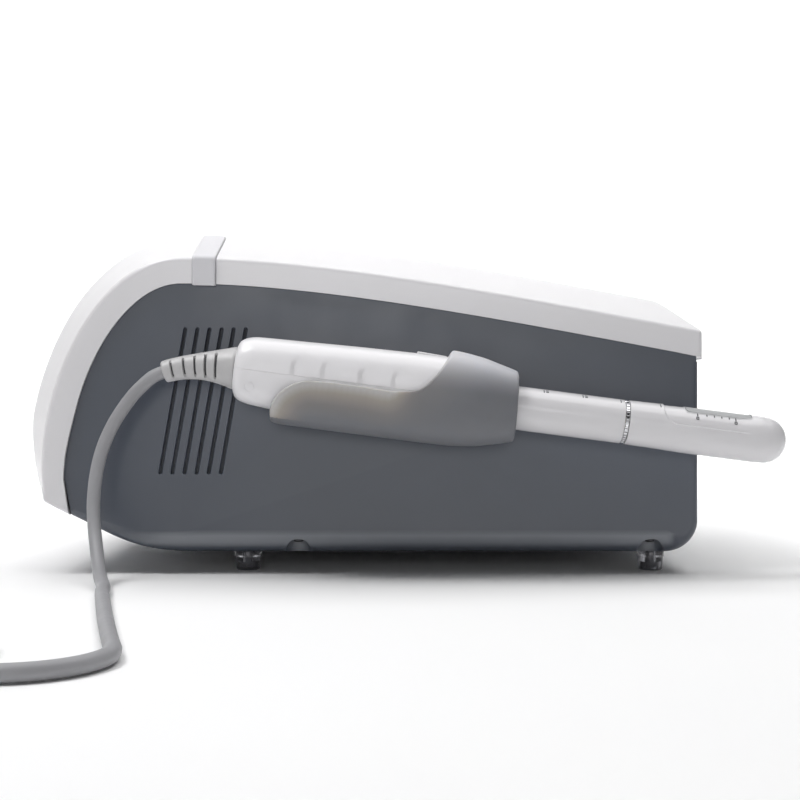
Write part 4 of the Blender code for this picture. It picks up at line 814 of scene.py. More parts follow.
# seam band
def strap_ring(x, proud, inset=0.0):
    p, _ = station(run_at_x(x))
    h, hw = rise(run_at_x(x)), BAND_OUT
    foot, sh, pl, mid = (hw + proud, -BAND_W - 1.2 + inset), (hw + proud, 0.6 + 0.2 * proud), (hw - BEVEL_IN + 0.4, h + proud), (0.0, h + proud)
    near = [foot] + fillet(foot, sh, pl, 4.2, 6) + fillet(sh, pl, mid, 9.0, 8)
    out = near + [(0.0, h + proud)] + [(-y, k) for y, k in near[::-1]]
    ins = ((-(hw - SKIN), -BAND_W - 1.2 + inset), (-(hw - SKIN), -SKIN), (-(hw - BEVEL_IN - 1.5), h - SKIN),
           (hw - BEVEL_IN - 1.5, h - SKIN), (hw - SKIN, -SKIN), (hw - SKIN, -BAND_W - 1.2 + inset))
    return [(x, MID_Y - y, p[1] + k) for y, k in list(out) + list(ins)]


x1, x0 = SEAM_X[1], SEAM_X[0]
rings = []
for e in (0.0, 0.25, 0.7, 1.4):
    q = 1.4 - math.sqrt(max(1.4 ** 2 - (1.4 - e) ** 2, 0.0))
    rings.append(strap_ring(x1 - e, 2.1 - q, q * 0.5))
for i in range(1, 8):
    rings.append(strap_ring(x1 - 1.4 + (x0 - x1 + 2.8) * i / 8, 2.1))
for e in (1.4, 0.7, 0.25, 0.0):
    q = 1.4 - math.sqrt(max(1.4 ** 2 - (1.4 - e) ** 2, 0.0))
    rings.append(strap_ring(x0 + e, 2.1 - q, q * 0.5))
strap = Shape().loft(rings).make("seam_strap", BAND, smooth=32.0, weighted=True)
piece(strap, "console", "band_grey_white", "seam_band")


# ------------------------------------------------------------------ lower housing
def bottom_path():
    pts = [((REAR_X, 142.0), (1, 0), REAR_EDGE_R), ((REAR_X, 90.0), (1, 0), REAR_EDGE_R)]
    cx, cz = REAR_X - REAR_CORNER_R, BASE_Z + REAR_CORNER_R
    for i in range(19):
        a = math.radians(-90.0 * i / 18)
        pts.append(((cx + REAR_CORNER_R * math.cos(a), cz + REAR_CORNER_R * math.sin(a)),
                    (math.cos(a), math.sin(a)), REAR_EDGE_R + (EDGE_R - REAR_EDGE_R) * i / 18))
    for x in (60.0, -60.0):
        pts.append(((x, BASE_Z), (0, -1), EDGE_R))
    chin = ((-130.0, BASE_Z), (-175.0, BASE_Z), (-186.0, 25.5), (-214.5, 39.4))
    for i in range(25):
        t = i / 24
        p, d = bezier(chin, t), bezier_dir(chin, t)
        pts.append((p, (d[1], -d[0]) if d[1] < 0 else (-abs(d[1]), -abs(d[0])), EDGE_R - (EDGE_R - 5.0) * t))
    return pts


def top_path():
    pts = [(-214.6, 41.8)]
    for r in [RUN - 6.0, RUN - 14.0, RUN - 22.0] + [RUN - 22.0 - 12.0 * k for k in range(1, 13)] + spaced(SEAM_RUN[0], 30.0, -15.0):
        p, n = station(r)
        off = band_width(r) - 4.0
        if r > RUN - 8.0:
            off = band_width(r) + 0.5
        pts.append((p[0] - n[0] * off, p[1] - n[1] * off))
    return pts + [(REAR_X - 1.4, 151.0), (REAR_X - 1.4, 142.0)]


half_rings = []
TOPP, BOTP = top_path(), bottom_path()
for a in (90, 84, 75, 66, 57, 48, 39, 30, 20, 10, 0):
    t = math.radians(a)
    ring = [(x, MID_Y - HALF_W + 0.5 * (1 - math.sin(t)), z) for x, z in TOPP]
    for (x, z), (nx, nz), e in BOTP:
        off = e * (1 - math.cos(t))
        ring.append((x - nx * off, MID_Y - HALF_W + e * (1 - math.sin(t)), z - nz * off))
    half_rings.append(ring)
far = [[(x, 2 * MID_Y - y, z) for x, y, z in r] for r in half_rings]
tub = Shape().loft(half_rings + far[::-1]).make("base_housing", SLATE)
pts = [(-150.0, 330.0), (-300.0, 250.0), (-300.0, 60.0), (-232.0, 44.5)]
for (x, z), (nx, nz), e in BOTP[::-1]:
    pts.append((x - nx * WALL, z - nz * WALL))
pts[-1] = (REAR_X - WALL, 142.0)
pts += [(REAR_X - WALL - 0.2, 170.0), (REAR_X - WALL - 0.2, 330.0)]
cav = Shape().prism(pts, MID_Y - HALF_W + WALL, MID_Y + HALF_W - WALL).make("cavity")
keep = Shape()
for sgn in (-1, 1):
    ys = MID_Y + sgn * HALF_W
    rows = [(ys + sgn * 2.0, 0.0), (ys - sgn * (EDGE_R + 0.5), 0.0), (ys - sgn * (EDGE_R + 0.5), BASE_Z + WALL),
            (ys - sgn * (EDGE_R - 5.5), BASE_Z + WALL + 1.6), (ys - sgn * (WALL + 1.6), BASE_Z + EDGE_R - 5.5),
            (ys - sgn * WALL, BASE_Z + EDGE_R + 1.0), (ys + sgn * 2.0, BASE_Z + EDGE_R + 1.0)]
    keep.loft([[(-185.0, y, z + (12.0 if z > 0 else 0.0)) for y, z in rows], [(-150.0, y, z) for y, z in rows], [(REAR_X - 8.0, y, z) for y, z in rows]])
bosses = Shape()
for wx in WELL_X:
    for sgn in (-1, 1):
        bosses.turned((wx, MID_Y + sgn * (HALF_W - WELL_INSET), 0.0), (0, 0, 1), [(0.0, 12.0), (WELL_TOP + 6.0, 12.0)], 24)
carve(cav, keep.make("keep"), bosses.make("bosses"))
slots = Shape()
for side in (-1, 1):
    for i in range(VENTS):
        tx, tz = VENT_TOP[0] + VENT_PITCH * i, VENT_TOP[1]
        bx, bz = VENT_BOTTOM[0] + VENT_PITCH * i, VENT_BOTTOM[1]
        q = math.hypot(tx - bx, tz - bz)
        ux, uz = (tx - bx) / q, (tz - bz) / q
        rings = []
        for y, r in ((HALF_W - 8.0, VENT_W / 2 - 0.1), (HALF_W - 0.8, VENT_W / 2 - 0.1), (HALF_W - 0.4, VENT_W / 2 + 0.02), (HALF_W + 0.03, VENT_W / 2 + 0.42), (HALF_W + 4.0, VENT_W / 2 + 0.46)):
            ring = []
            for cx, cz, a0 in ((tx - ux, tz - uz, 0.0), (bx + ux, bz + uz, math.pi)):
                for k in range(11):
                    a = a0 + math.pi * k / 10
                    ring.append((cx + r * (math.cos(a) * uz + math.sin(a) * ux), MID_Y + side * y, cz + r * (-math.cos(a) * ux + math.sin(a) * uz)))
            rings.append(ring)
        slots.loft(rings)
wells = Shape()
for wx in WELL_X:
    for sgn in (-1, 1):
        wells.turned((wx, MID_Y + sgn * (HALF_W - WELL_INSET), 5.0), (0, 0, 1),
                     [(0.0, WELL_R)] + [(WELL_TOP - 8.0 + 3.0 * math.sin(math.radians(9.0 * k)), WELL_R - 3.0 * (1.0 - math.cos(math.radians(9.0 * k)))) for k in range(11)] + [(WELL_TOP - 5.0 + 0.001, 1.7), (WELL_TOP - 5.0 + 4.5, 1.7)], 64)
for fx in FEET_X:
    for sgn in (-1, 1):
        wells.turned((fx, MID_Y + sgn * (HALF_W - FOOT_INSET), 5.0), (0, 0, 1), [(0.0, 2.4), (20.0, 2.4)], 24)
HOLSTER_SCREWS = ((-100.0, -8.0), (-30.0, -8.0))
for s, n in HOLSTER_SCREWS:
    p = on_probe(s, 0, n)
    wells.turned((p.x, NEAR_Y - 4.0, p.z), (0, 1, 0), [(0.0, 2.2), (10.0, 2.2)], 24)
pan = []
for cy, cz, a0 in ((PANEL[1] - 4.0, PANEL[3] - 4.0, 0), (PANEL[0] + 4.0, PANEL[3] - 4.0, 90), (PANEL[0] + 4.0, PANEL[2] + 4.0, 180), (PANEL[1] - 4.0, PANEL[2] + 4.0, 270)):
    for k in range(7):
        a = math.radians(a0 + 15.0 * k)
        pan.append((cy + 4.0 * math.cos(a), cz + 4.0 * math.sin(a)))
wells.loft([[(x, y, z) for y, z in pan] for x in (REAR_X - 6.0, REAR_X + 6.0)])
carve(tub, cav, slots.make("slots"), wells.make("wells"), smooth=30.0, weighted=True)
# painted highlight on the rounded lower edge, standing in for the floor's reflection there: 1 halfway round the edge, 0
# on the flat side and below
painted_edge_highlight = []
for v in tub.data.vertices:
    h = (v.co.z / MM - BASE_Z) / EDGE_R
    painted_edge_highlight.append(smoothstep(0.12, 0.52, h) * (1.0 - smoothstep(0.74, 0.99, h)) * smoothstep(-190.0, -145.0, v.co.x / MM) * (1.0 - smoothstep(184.0, 189.0, v.co.x / MM)) if h < 1.0 else 0.0)
tub.data.attributes.new("painted_edge_highlight", "FLOAT", "POINT").data.foreach_set("value", painted_edge_highlight)
# the slate material screens this painted highlight over its own colour
nt = SLATE.node_tree
b = next(n for n in nt.nodes if n.type == "BSDF_PRINCIPLED")
pa = nt.nodes.new("ShaderNodeAttribute")
pa.attribute_name = "painted_edge_highlight"
painted_light_ramp = ramp(nt, pa.outputs["Fac"], [(0.0, (0.0, 0.0, 0.0)), (1.0, (0.16, 0.165, 0.172))])
mx = nt.nodes.new("ShaderNodeMix")
mx.data_type, mx.blend_type = "RGBA", "SCREEN"
mx.inputs[0].default_value = 1.0
nt.links.new(b.inputs["Base Color"].links[0].from_socket, mx.inputs[6])
nt.links.new(painted_light_ramp.outputs["Color"], mx.inputs[7])
nt.links.new(mx.outputs[2], b.inputs["Base Color"])
piece(tub, "console", "housing_slate", "lower_housing")

# dark backing sheet behind the vents: painted shade seen through the slots
VENT_SHADE = moulded("vent_shade_backing", (0.075, 0.081, 0.095), 0.6, vary=0.1, grain=900.0, bump=0.3, cloud=30.0)
backing = Shape()
for side in (-1, 1):
    y0, y1 = MID_Y + side * (HALF_W - WALL - 0.9), MID_Y + side * (HALF_W - WALL - 0.05)
    backing.loft([[(x, y, z) for x, z in ((-161.0, 62.0), (-108.0, 62.0), (-90.0, 170.0), (-144.0, 170.0))] for y in (y0, y1)])
piece(backing.make("vent_shade_backing", VENT_SHADE, smooth=0), "console", "black_plastic")

# feet: smoky clear, hollow, with the screw seen inside
k = 0
for sgn, side in ((-1, "near"), (1, "far")):
    for fx, end in zip(FEET_X, ("front", "rear")):
        k += 1
        fy = MID_Y + sgn * (HALF_W - FOOT_INSET)
        top = BASE_Z - GAP
        foot = Shape().tube((fx, fy, 0), (0, 0, 1), [(0.0, 5.4), (0.0, 6.9), (0.18, 7.5), (0.6, 7.9), (1.4, 8.1), (8.6, 8.75), (9.0, 8.9), (9.3, 9.25), (top - 0.3, 9.3), (top, 9.1),
                                                          (top, 2.5), (6.0, 2.5), (6.0, 5.0), (0.4, 5.2)], 64).make(f"foot_{end}_{side}_clear", SMOKY, smooth=40.0)
        piece(foot, "console", "smoky_clear", f"foot_{end}_{side}")
        sc = Shape().turned((fx, fy, 0), (0, 0, 1), [(3.9, 1.0), (3.9, 2.6), (3.0, 3.0), (2.6, 3.6), (2.9, 4.3), (3.6, 4.55), (5.7, 4.55), (5.72, 1.9), (20.4, 1.9)], 40)
        sc = sc.make(f"foot_screw_{k}_fine", STEEL, smooth=30.0)
        cross = [Shape().box((fx - a, fy - b_, 2.0), (fx + a, fy + b_, 4.9)).make("cut") for a, b_ in ((2.2, 0.45), (0.45, 2.2))]
        carve(sc, *cross, smooth=30.0)
        piece(sc, "console", "steel", f"foot_screw_{k}")


# ------------------------------------------------------------------ holster: a soft-edged moulding
def super_section(s, top, bottom, half_y, back=None, n=72, power=2.3, lean=0.0):
    c = (top + bottom) / 2
    ring = []
    for i in range(n):
        a = 2 * math.pi * i / n
        ca, sa = math.cos(a), math.sin(a)
        y = -half_y * math.copysign(abs(ca) ** (2 / power), ca)
        z = c + (top - bottom) / 2 * math.copysign(abs(sa) ** (2 / power), sa)
        if back is not None and y > 0:
            y = y / half_y * back
        ring.append(on_probe(s - lean * z, y, z))
    return ring


BACK = AXIS_OFF - GAP
stations = [-134.7, -134.4, -133.9, -133.2, -131.4, -129.2, -127.0, -123.0] + spaced(-118.0, -58.0, 8.0) + spaced(-50.0, 21.0, 2.4)
hol = Shape().loft([super_section(s, ease(HOLSTER, s, 1), ease(HOLSTER, s, 2), ease(HOLSTER, s, 3), back=BACK, power=2.6, lean=0.055 * smoothstep(-6.0, 18.0, s)) for s in stations]).make("holster_fine", None)
inner = Shape().loft([super_section(s, ease(CLEARANCE, s, 1), ease(CLEARANCE, s, 2), ease(CLEARANCE, s, 3), power=2.3 if s < 0 else 2.0)
                      for s in [-170.0, -100.0, -50.0, -30.0] + spaced(-24.0, 19.0, 3.0) + [24.0, 30.0]]).make("cut")
EDGE_PTS = [(-150.0, -24.0), (-138.5, -23.4), (-135.7, -21.4), (-134.0, -18.0), (-131.5, -12.6), (-126.0, -6.3), (-117.4, -1.2), (-107.7, 0.6), (-79.6, 0.9),
            (-60.0, 0.4), (-51.8, 0.8), (-46.0, 1.9), (-41.2, 4.2), (-36.0, 9.5), (-31.5, 16.2), (-27.0, 25.0), (-24.5, 30.5), (-22.0, 34.5)]
edge_line, _ = catmull([(s, 0.0, n) for s, n in EDGE_PTS], 2.0)
outline = [(p.x, p.z) for p in edge_line] + [(-21.0, 60.0), (-150.0, 60.0)]
opening = Shape().loft([[on_probe(s, y, n) for s, n in outline] for y in (-60.0, 60.0)]).make("cut2")
carve(hol, inner, opening)
m = hol.modifiers.new("even", "REMESH")
m.mode, m.voxel_size = "VOXEL", (0.0008)
settle(hol)
m = hol.modifiers.new("soft", "SMOOTH")
m.factor, m.iterations = 0.5, (14)
settle(hol)
holes = Shape()
for s, n in HOLSTER_SCREWS:
    p = on_probe(s, 0, n)
    holes.turned((p.x, NEAR_Y - 4.5, p.z), (0, 1, 0), [(0.0, 2.1), (9.0, 2.1)], 24)
carve(hol, holes.make("cut"))
hol.data.shade_smooth()
# rim: 1 at the trough's edge, falling away over 20 mm, read by the material as a painted glow and highlight that
# lightens and warms the colour towards the edge
co = [v.co / MM for v in hol.data.vertices]
rim_pts = [(p.x, p.z) for p in edge_line]
# second attribute: 1 on the top of the collar, where the material paints a lighter, cooler tone as painted top light
vals, painted_top_light = [], []
for c in co:
    v = Vector((c.x - PROBE_REF[0], 0.0, c.z - PROBE_REF[1]))
    s, n = v.dot(D), v.dot(N)
    d = min(math.hypot(s - a, n - b_) for a, b_ in rim_pts[::2]) if n > -26.0 and s < 0.0 else 30.0
    vals.append(max(0.0, 1.0 - d / 24.0) * (1.0 - 0.75 * smoothstep(-62.0, -38.0, s)))
    painted_top_light.append(smoothstep(4.0, 31.0, n) * smoothstep(-50.0, -30.0, s))
hol.data.attributes.new("rim", "FLOAT", "POINT").data.foreach_set("value", vals)
hol.data.attributes.new("painted_top_light", "FLOAT", "POINT").data.foreach_set("value", painted_top_light)

HOLM, nt, b = new_material("holster_translucent")
tc = nt.nodes.new("ShaderNodeTexCoord").outputs["Object"]
at = nt.nodes.new("ShaderNodeAttribute")
at.attribute_name = "rim"
slow = noise(nt, 22.0, 3.0, 0.5, tc)
fine = noise(nt, 1500.0, 2.0, 0.6, tc)
add = nt.nodes.new("ShaderNodeMath")
add.operation = "MULTIPLY_ADD"
add.inputs[1].default_value = 0.22
nt.links.new(slow.outputs["Fac"], add.inputs[0])
nt.links.new(at.outputs["Fac"], add.inputs[2])
# colour from dark blue-grey to warm and then light grey at the trough's edge: painted translucent glow and rim
# highlight, with random tone from the slow noise
painted_rim_glow = ramp(nt, add.outputs["Value"], [(0.10, (0.178, 0.183, 0.200)), (0.48, (0.235, 0.226, 0.224)), (0.80, (0.365, 0.332, 0.300)), (0.99, (0.50, 0.495, 0.49))])
# painted top light: the collar's top is screened lighter and cooler
ca = nt.nodes.new("ShaderNodeAttribute")
ca.attribute_name = "painted_top_light"
painted_light_ramp = ramp(nt, ca.outputs["Fac"], [(0.0, (0.0, 0.0, 0.0)), (1.0, (0.50, 0.50, 0.54))])
mx = nt.nodes.new("ShaderNodeMix")
mx.data_type, mx.blend_type = "RGBA", "SCREEN"
mx.inputs[0].default_value = 1.0
nt.links.new(painted_rim_glow.outputs["Color"], mx.inputs[6])
nt.links.new(painted_light_ramp.outputs["Color"], mx.inputs[7])
nt.links.new(mx.outputs[2], b.inputs["Base Color"])
nt.links.new(spread(nt, slow.outputs["Fac"], 0.36, 0.50).outputs["Result"], b.inputs["Roughness"])
bp = nt.nodes.new("ShaderNodeBump")
bp.inputs["Strength"].default_value = 0.12
bp.inputs["Distance"].default_value = 0.00004
nt.links.new(fine.outputs["Fac"], bp.inputs["Height"])
nt.links.new(bp.outputs["Normal"], b.inputs["Normal"])
b.inputs["Specular IOR Level"].default_value = 0.4
b.inputs["Subsurface Weight"].default_value = 0.35
b.inputs["Subsurface Radius"].default_value = (1.0, 0.8, 0.6)
b.inputs["Subsurface Scale"].default_value = 0.003
hol.data.materials.clear()
hol.data.materials.append(HOLM)
piece(hol, "console", "holster_grey", "holster")

# ------------------------------------------------------------------ handpiece
DIMPLES = (-121.5, -102.5, -78.5, -57.5)


def dimple(s, n, sense):
    """Depth of the finger hollows in the handle's flank: a steep edge that eases out towards the tip."""
    q = 0.0
    for c in DIMPLES:
        t = (s - (c - 3.0) - 0.045 * (n - 7.0) ** 2) / 16.0
        if 0.0 < t < 1.0:
            q = max(q, smoothstep(0.0, 0.13, t) * (1.0 - t) ** 1.5)
    return 1.9 * q * math.exp(-((n - 7.0) / 5.5) ** 2)


def shell_half(upper):
    sign = 1 if upper else -1
    stations = [-161.0, -160.8, -160.3, -159.6, -158.8, -158.3, -157.6, -156.6, -155.0, -153.0, -150.5, -149.0] + spaced(-148.0, 18.0, 1.5)
    rings = []
    count = 34
    for s in stations:
        e = max(0.0, (-159.6 - s) / 1.4)
        rnd = 0.9 * (1.0 - math.sqrt(max(1.0 - e * e, 0.0)))
        t, bt, hd = ease(HANDLE, s, 1) - rnd, ease(HANDLE, s, 2) + rnd, ease(HANDLE, s, 3) - rnd
        h = (t - PART_N) if upper else (PART_N - bt)
        hi, hdi = h - 2.4, hd - 2.4
        if s < -158.4:
            hi = hdi = 9.6
        c = PART_N + sign * 0.03
        ring = []
        pts = [(-(hd - 0.30), 0.0), (-(hd - 0.06), 0.28)]
        for i in range(1, count):
            a = math.pi * i / count
            ca, sa = math.cos(a), math.sin(a)
            pts.append((-hd * math.copysign(abs(ca) ** (2 / 2.3), ca), max(h * sa ** (2 / 2.3), 0.29)))
        pts += [(hd - 0.06, 0.28), (hd - 0.30, 0.0)]
        for y, z in pts:
            n = c + sign * z
            k = dimple(s, n, upper) * min(1.0, abs(y) / (hd * 0.6)) ** 2 if upper or n > 0 else 0.0
            y2 = y - math.copysign(k, y)
            ring.append(on_probe(s, y2, n))
        for i in range(count, -1, -1):
            a = math.pi * i / count
            ca, sa = math.cos(a), math.sin(a)
            ring.append(on_probe(s, -hdi * math.copysign(abs(ca) ** (2 / 2.3), ca), c + sign * hi * max(sa, 0.0) ** (2 / 2.3)))
        rings.append(ring)
    return Shape().loft(rings)


def button_outline(s0, s1, half, r=2.5, seg=6):
    pts = []
    for cs, cy, a0 in ((s1 - r, half - r, 0), (s0 + r, half - r, 90), (s0 + r, -(half - r), 180), (s1 - r, -(half - r), 270)):
        for i in range(seg + 1):
            a = math.radians(a0 + 90.0 * i / seg)
            pts.append((cs + r * math.cos(a), cy + r * math.sin(a)))
    return pts


upper = shell_half(True).make("handle_upper_fine", SHELLM)
carve(upper, Shape().loft([[on_probe(s, y, n) for s, y in button_outline(BTN_S[0] - 0.4, BTN_S[1] + 0.4, 6.4, 2.7)] for n in (12.0, 40.0)]).make("cut"), smooth=38.0, weighted=True)
piece(upper, "handpiece", "probe_white", "handle_upper_shell")
lower = shell_half(False).make("handle_lower_fine", SHELLM)
# round plug mark near the cord end, on both flanks
for side in (-1, 1):
    c = on_probe(-149.0, side * 24.0, -8.4)
    mark = Shape()
    ringv = []
    for i in range(48):
        a = 2 * math.pi * i / 48
        ca, sa = math.cos(a), math.sin(a)
        # each point of the ring sits 0.35 mm into the flank at its own height
        def flank(r):
            n = -8.4 + r * sa
            hd, h = ease(HANDLE, -149.0 + r * ca, 3), PART_N - ease(HANDLE, -149.0 + r * ca, 2)
            q = min(abs(n - PART_N) / h, 0.999)
            return hd * (1.0 - q ** 2.3) ** (1 / 2.3)
        ringv.append([on_probe(-149.0 + r * ca, side * (flank(r) + dy), -8.4 + r * sa) for r, dy in ((2.75, -0.40), (2.75, 1.5), (3.2, 1.5), (3.2, -0.40))])
    mark = mark.loft(ringv, close=True).make("cut")
    carve(lower, mark, smooth=38.0, weighted=True)
piece(lower, "handpiece", "probe_white", "handle_lower_shell")



def btn_top(s):
    return 28.0 - 0.9 * (s - BTN_S[0]) / (BTN_S[1] - BTN_S[0])


o = [button_outline(BTN_S[0] + k, BTN_S[1] - k, 6.0 - k, max(2.5 - k * 0.5, 1.2)) for k in (0.0, 0.05, 0.35, 0.9)]
btn = Shape().loft([[on_probe(s, y, 17.5 if dn is None else btn_top(s) - dn) for s, y in q] for q, dn in ((o[0], None), (o[0], 0.95), (o[1], 0.5), (o[2], 0.15), (o[3], 0.03))])
btn = btn.make("trigger_button_fine", SHELLM, smooth=32.0, weighted=True)
piece(btn, "trigger", "band_grey_white", "trigger_button")

# probe tube with engraved depth marks every 25 mm
tube = Shape().tube(on_probe(0), D, [(18.4, PROBE_R - 0.4), (18.4, 11.8), (RING_S[0] - GAP, 11.8), (RING_S[0] - GAP, PROBE_R - 0.35), (RING_S[0] - GAP - 0.35, PROBE_R)]
                    + [(s, PROBE_R) for s in spaced(RING_S[0] - 4.0, 22.0, -6.0)] + [(18.8, PROBE_R)], 96).make("probe_tube_fine", PROBE, smooth=30.0)
piece(tube, "handpiece", "probe_white", "probe_tube")


def on_round(s, ang, r):
    """Point on the probe at angle ang from the operator's side, upwards."""
    return on_probe(s, -r * math.cos(ang), r * math.sin(ang))


def decal(shape, s0, s1, a0, a1, r, lift=0.05, seg=6):
    """A thin printed patch that follows the round of the probe."""
    rings = []
    for i in range(seg + 1):
        a = a0 + (a1 - a0) * i / seg
        rings.append([on_round(s0, a, r - 0.05), on_round(s1, a, r - 0.05), on_round(s1, a, r + lift), on_round(s0, a, r + lift)])
    return shape.loft(rings)


marks = Shape()
for i, s in enumerate((37.6, 62.8, 87.4, 113.0)):
    for side in (0, 1):
        a = math.radians(66.0) if not side else math.radians(114.0)
        r = PROBE_R if i < 3 else ease(CARTRIDGE, s)
        decal(marks, s - 0.35, s + 0.35, a - 0.16, a + 0.16, r)
        if i < 2:
            decal(marks, s + 1.3, s + 3.1, a - 0.13, a - 0.03, r)
            decal(marks, s + 1.3, s + 3.1, a + 0.03, a + 0.13, r)
marks = marks.make("depth_marks", INK, smooth=40.0)
piece(marks, "handpiece", "black_plastic")

# faceted chrome ring
ring = []
prof = [(RING_S[0], 13.4), (RING_S[0], 10.8), (RING_S[1], 10.8), (RING_S[1], 13.4), (RING_S[1] - 0.35, 13.68), (RING_S[0] + 0.35, 13.68)]
groove = Shape().tube(on_probe(0), D, [(RING_S[0], 13.0), (RING_S[0], 10.8), (RING_S[1], 10.8), (RING_S[1], 13.0)], 96).make("chrome_ring_groove", CHROME, smooth=40.0)
piece(groove, "handpiece", "chrome")
knurled = Shape()
for i in range(34):
    a0 = 2 * math.pi * i / 34
    ring = []
    for k, dr in ((-1.0, 0.30), (-0.7, 0.05), (0.0, 0.0), (0.7, 0.05), (1.0, 0.30)):
        a = a0 + k * 0.62 * math.pi / 34
        q = Vector((0, 1, 0)) * math.cos(a) + N * math.sin(a)
        ring.append([on_probe(t) + q * (r - (dr if r > 12.9 else 0.0)) for t, r in ((RING_S[0] + 0.02, 13.3), (RING_S[0] + 0.02, 12.4), (RING_S[1] - 0.02, 12.4), (RING_S[1] - 0.02, 13.3), (RING_S[1] - 0.4, 13.68), (RING_S[0] + 0.4, 13.68))])
    knurled.loft(ring)
ringo = knurled.make("chrome_ring_fine", CHROME, smooth=20.0)
piece(ringo, "handpiece", "chrome", "chrome_ring")


# treatment cartridge: the upper side is set back slightly behind a curved edge
def setback(s, n, ypos):
    if s < 112.0 or n < 0.0:
        return 0.0
    r = 9.5
    s0, n0 = 115.0, 2.6
    # signed distance inside a region bounded on the left by s0 and below by n0, with a round corner
    if s < s0 + r and n < n0 + r:
        d = r - math.hypot(s0 + r - s, n0 + r - n)
    else:
        d = min(s - s0, n - n0)
    k = smoothstep(0.0, 0.45, d) - 0.22 * smoothstep(-1.6, -0.1, d) * (1.0 - smoothstep(-0.1, 0.3, d))
    return 0.70 * k * (1.0 - smoothstep(163.0, 173.0, s))


prof = []
for s in spaced(93.5, 112.0, 3.0) + spaced(112.5, 174.0, 0.5)[0:] + spaced(175.0, 183.0, 1.0):
    prof.append((s, ease(CARTRIDGE, s)))
for i in range(1, 23):
    a = math.radians(90.0 * i / 22)
    prof.append((DOME_S + (TIP_S - DOME_S) * math.sin(a), max(14.7 * math.cos(a), 0.35)))
nc = 180
rings = [[on_round(93.5, 2 * math.pi * i / nc, 13.95) for i in range(nc)]]
for s, r in prof:
    rr = r if s > 93.9 else r - 0.1
    row = []
    for i in range(nc):
        a = 2 * math.pi * i / nc
        row.append(on_round(s if s > 93.6 else 93.75, a, rr - setback(s, r * math.sin(a), 0.0)))
    rings.append(row)
cart = Shape().loft(rings).make("cartridge_fine", PROBE)
bore = Shape().turned(on_probe(0), D, [(80.0, 11.6), (172.0, 11.6)], 48).make("cut")
win = Shape().loft([[on_probe(s, y, n) for s, y in button_outline(WIN_S[0], WIN_S[1], 9.0, 2.2)] for n in (6.0, 30.0)]).make("cut2")
carve(cart, bore, win, smooth=38.0)
piece(cart, "handpiece", "probe_white", "cartridge_shell")
film = []
for i in range(25):
    s = WIN_S[0] + 0.45 + (WIN_S[1] - WIN_S[0] - 0.9) * i / 24
    e = min(i, 24 - i) / 24
    half = 8.6 - (1.6 * (1.0 - min(e / 0.05, 1.0)))
    ring = []
    for r, sgn in ((14.75, 1), (14.15, -1)):
        ys_ = [half * (k / 10.0 - 1.0) * sgn for k in range(21)]
        for y in ys_:
            ring.append(on_probe(s, y, math.sqrt(r * r - y * y)))
    film.append(ring)
film = Shape().loft(film).make("membrane_fine", FILM, smooth=35.0)
piece(film, "handpiece", "membrane_film", "membrane_window")
# film frame: a slim dark gasket round the window, and the treatment scale beside it
gasket = Shape()
wo, wi = button_outline(WIN_S[0] - 1.1, WIN_S[1] + 1.1, 9.9, 3.0, 8), button_outline(WIN_S[0] + 0.1, WIN_S[1] - 0.1, 8.9, 2.3, 8)


def lay_on(s, y, lift):
    r = ease(CARTRIDGE, s) - setback(s, math.sqrt(max(15.0 ** 2 - y * y, 0.0)), y) + lift
    return on_probe(s, y, math.sqrt(max(r * r - y * y, 0.0)))


def dense_loop(pts, step=1.0):
    out = []
    for i, p in enumerate(pts):
        q = pts[(i + 1) % len(pts)]
        c = max(1, int(math.hypot(q[0] - p[0], q[1] - p[1]) / step))
        out += [(p[0] + (q[0] - p[0]) * k / c, p[1] + (q[1] - p[1]) * k / c) for k in range(c)]
    return out


loop_i = dense_loop(wi)
mid_s = (WIN_S[0] + WIN_S[1]) / 2
loop_o = []
for s, y in loop_i:
    dx, dy = 0.0, 0.0
    if abs(s - mid_s) > (WIN_S[1] - WIN_S[0]) / 2 - 2.4:
        dx = math.copysign(0.6, s - mid_s)
    if abs(y) > 6.5:
        dy = math.copysign(0.45, y)
    q = math.hypot(dx, dy) or 1.0
    loop_o.append((s + dx / max(q, 1.0), y + dy / max(q, 0.9)))
gasket.loft([[lay_on(*i_, -0.10), lay_on(*i_, 0.22), lay_on(*o_, 0.22), lay_on(*o_, -0.10)] for i_, o_ in zip(loop_i, loop_o)], close=True)
GASK = moulded("window_frame", (0.62, 0.62, 0.635), 0.35, vary=0.05, grain=2000.0, bump=0.03)
piece(gasket.make("window_frame", GASK, smooth=40.0), "handpiece", "holster_grey")
scale = Shape()
for side in (0, 1):
    for s, long in ((136.3, 1), (142.3, 0), (147.1, 0), (151.9, 0), (156.7, 0), (160.9, 1)):
        a0, a1 = math.radians(43.5 if not long else 40.5), math.radians(50.5)
        if side:
            a0, a1 = math.pi - a1, math.pi - a0
        r = ease(CARTRIDGE, s) - 0.42
        decal(scale, s - 0.32, s + 0.32, a0, a1, r)
        if long:
            q0, q1 = (math.radians(30.5), math.radians(38.5)) if not side else (math.pi - math.radians(38.5), math.pi - math.radians(30.5))
            for z0, z1, s0, s1 in ((q0, q0 + 0.028, s - 0.9, s + 0.9), (q1 - 0.028, q1, s - 0.9, s + 0.9), (q0, q1, s - 0.9, s - 0.45), (q0, q1, s + 0.45, s + 0.9)):
                decal(scale, s0, s1, z0, z1, r)
piece(scale.make("treatment_scale", INK, smooth=40.0), "handpiece", "black_plastic")


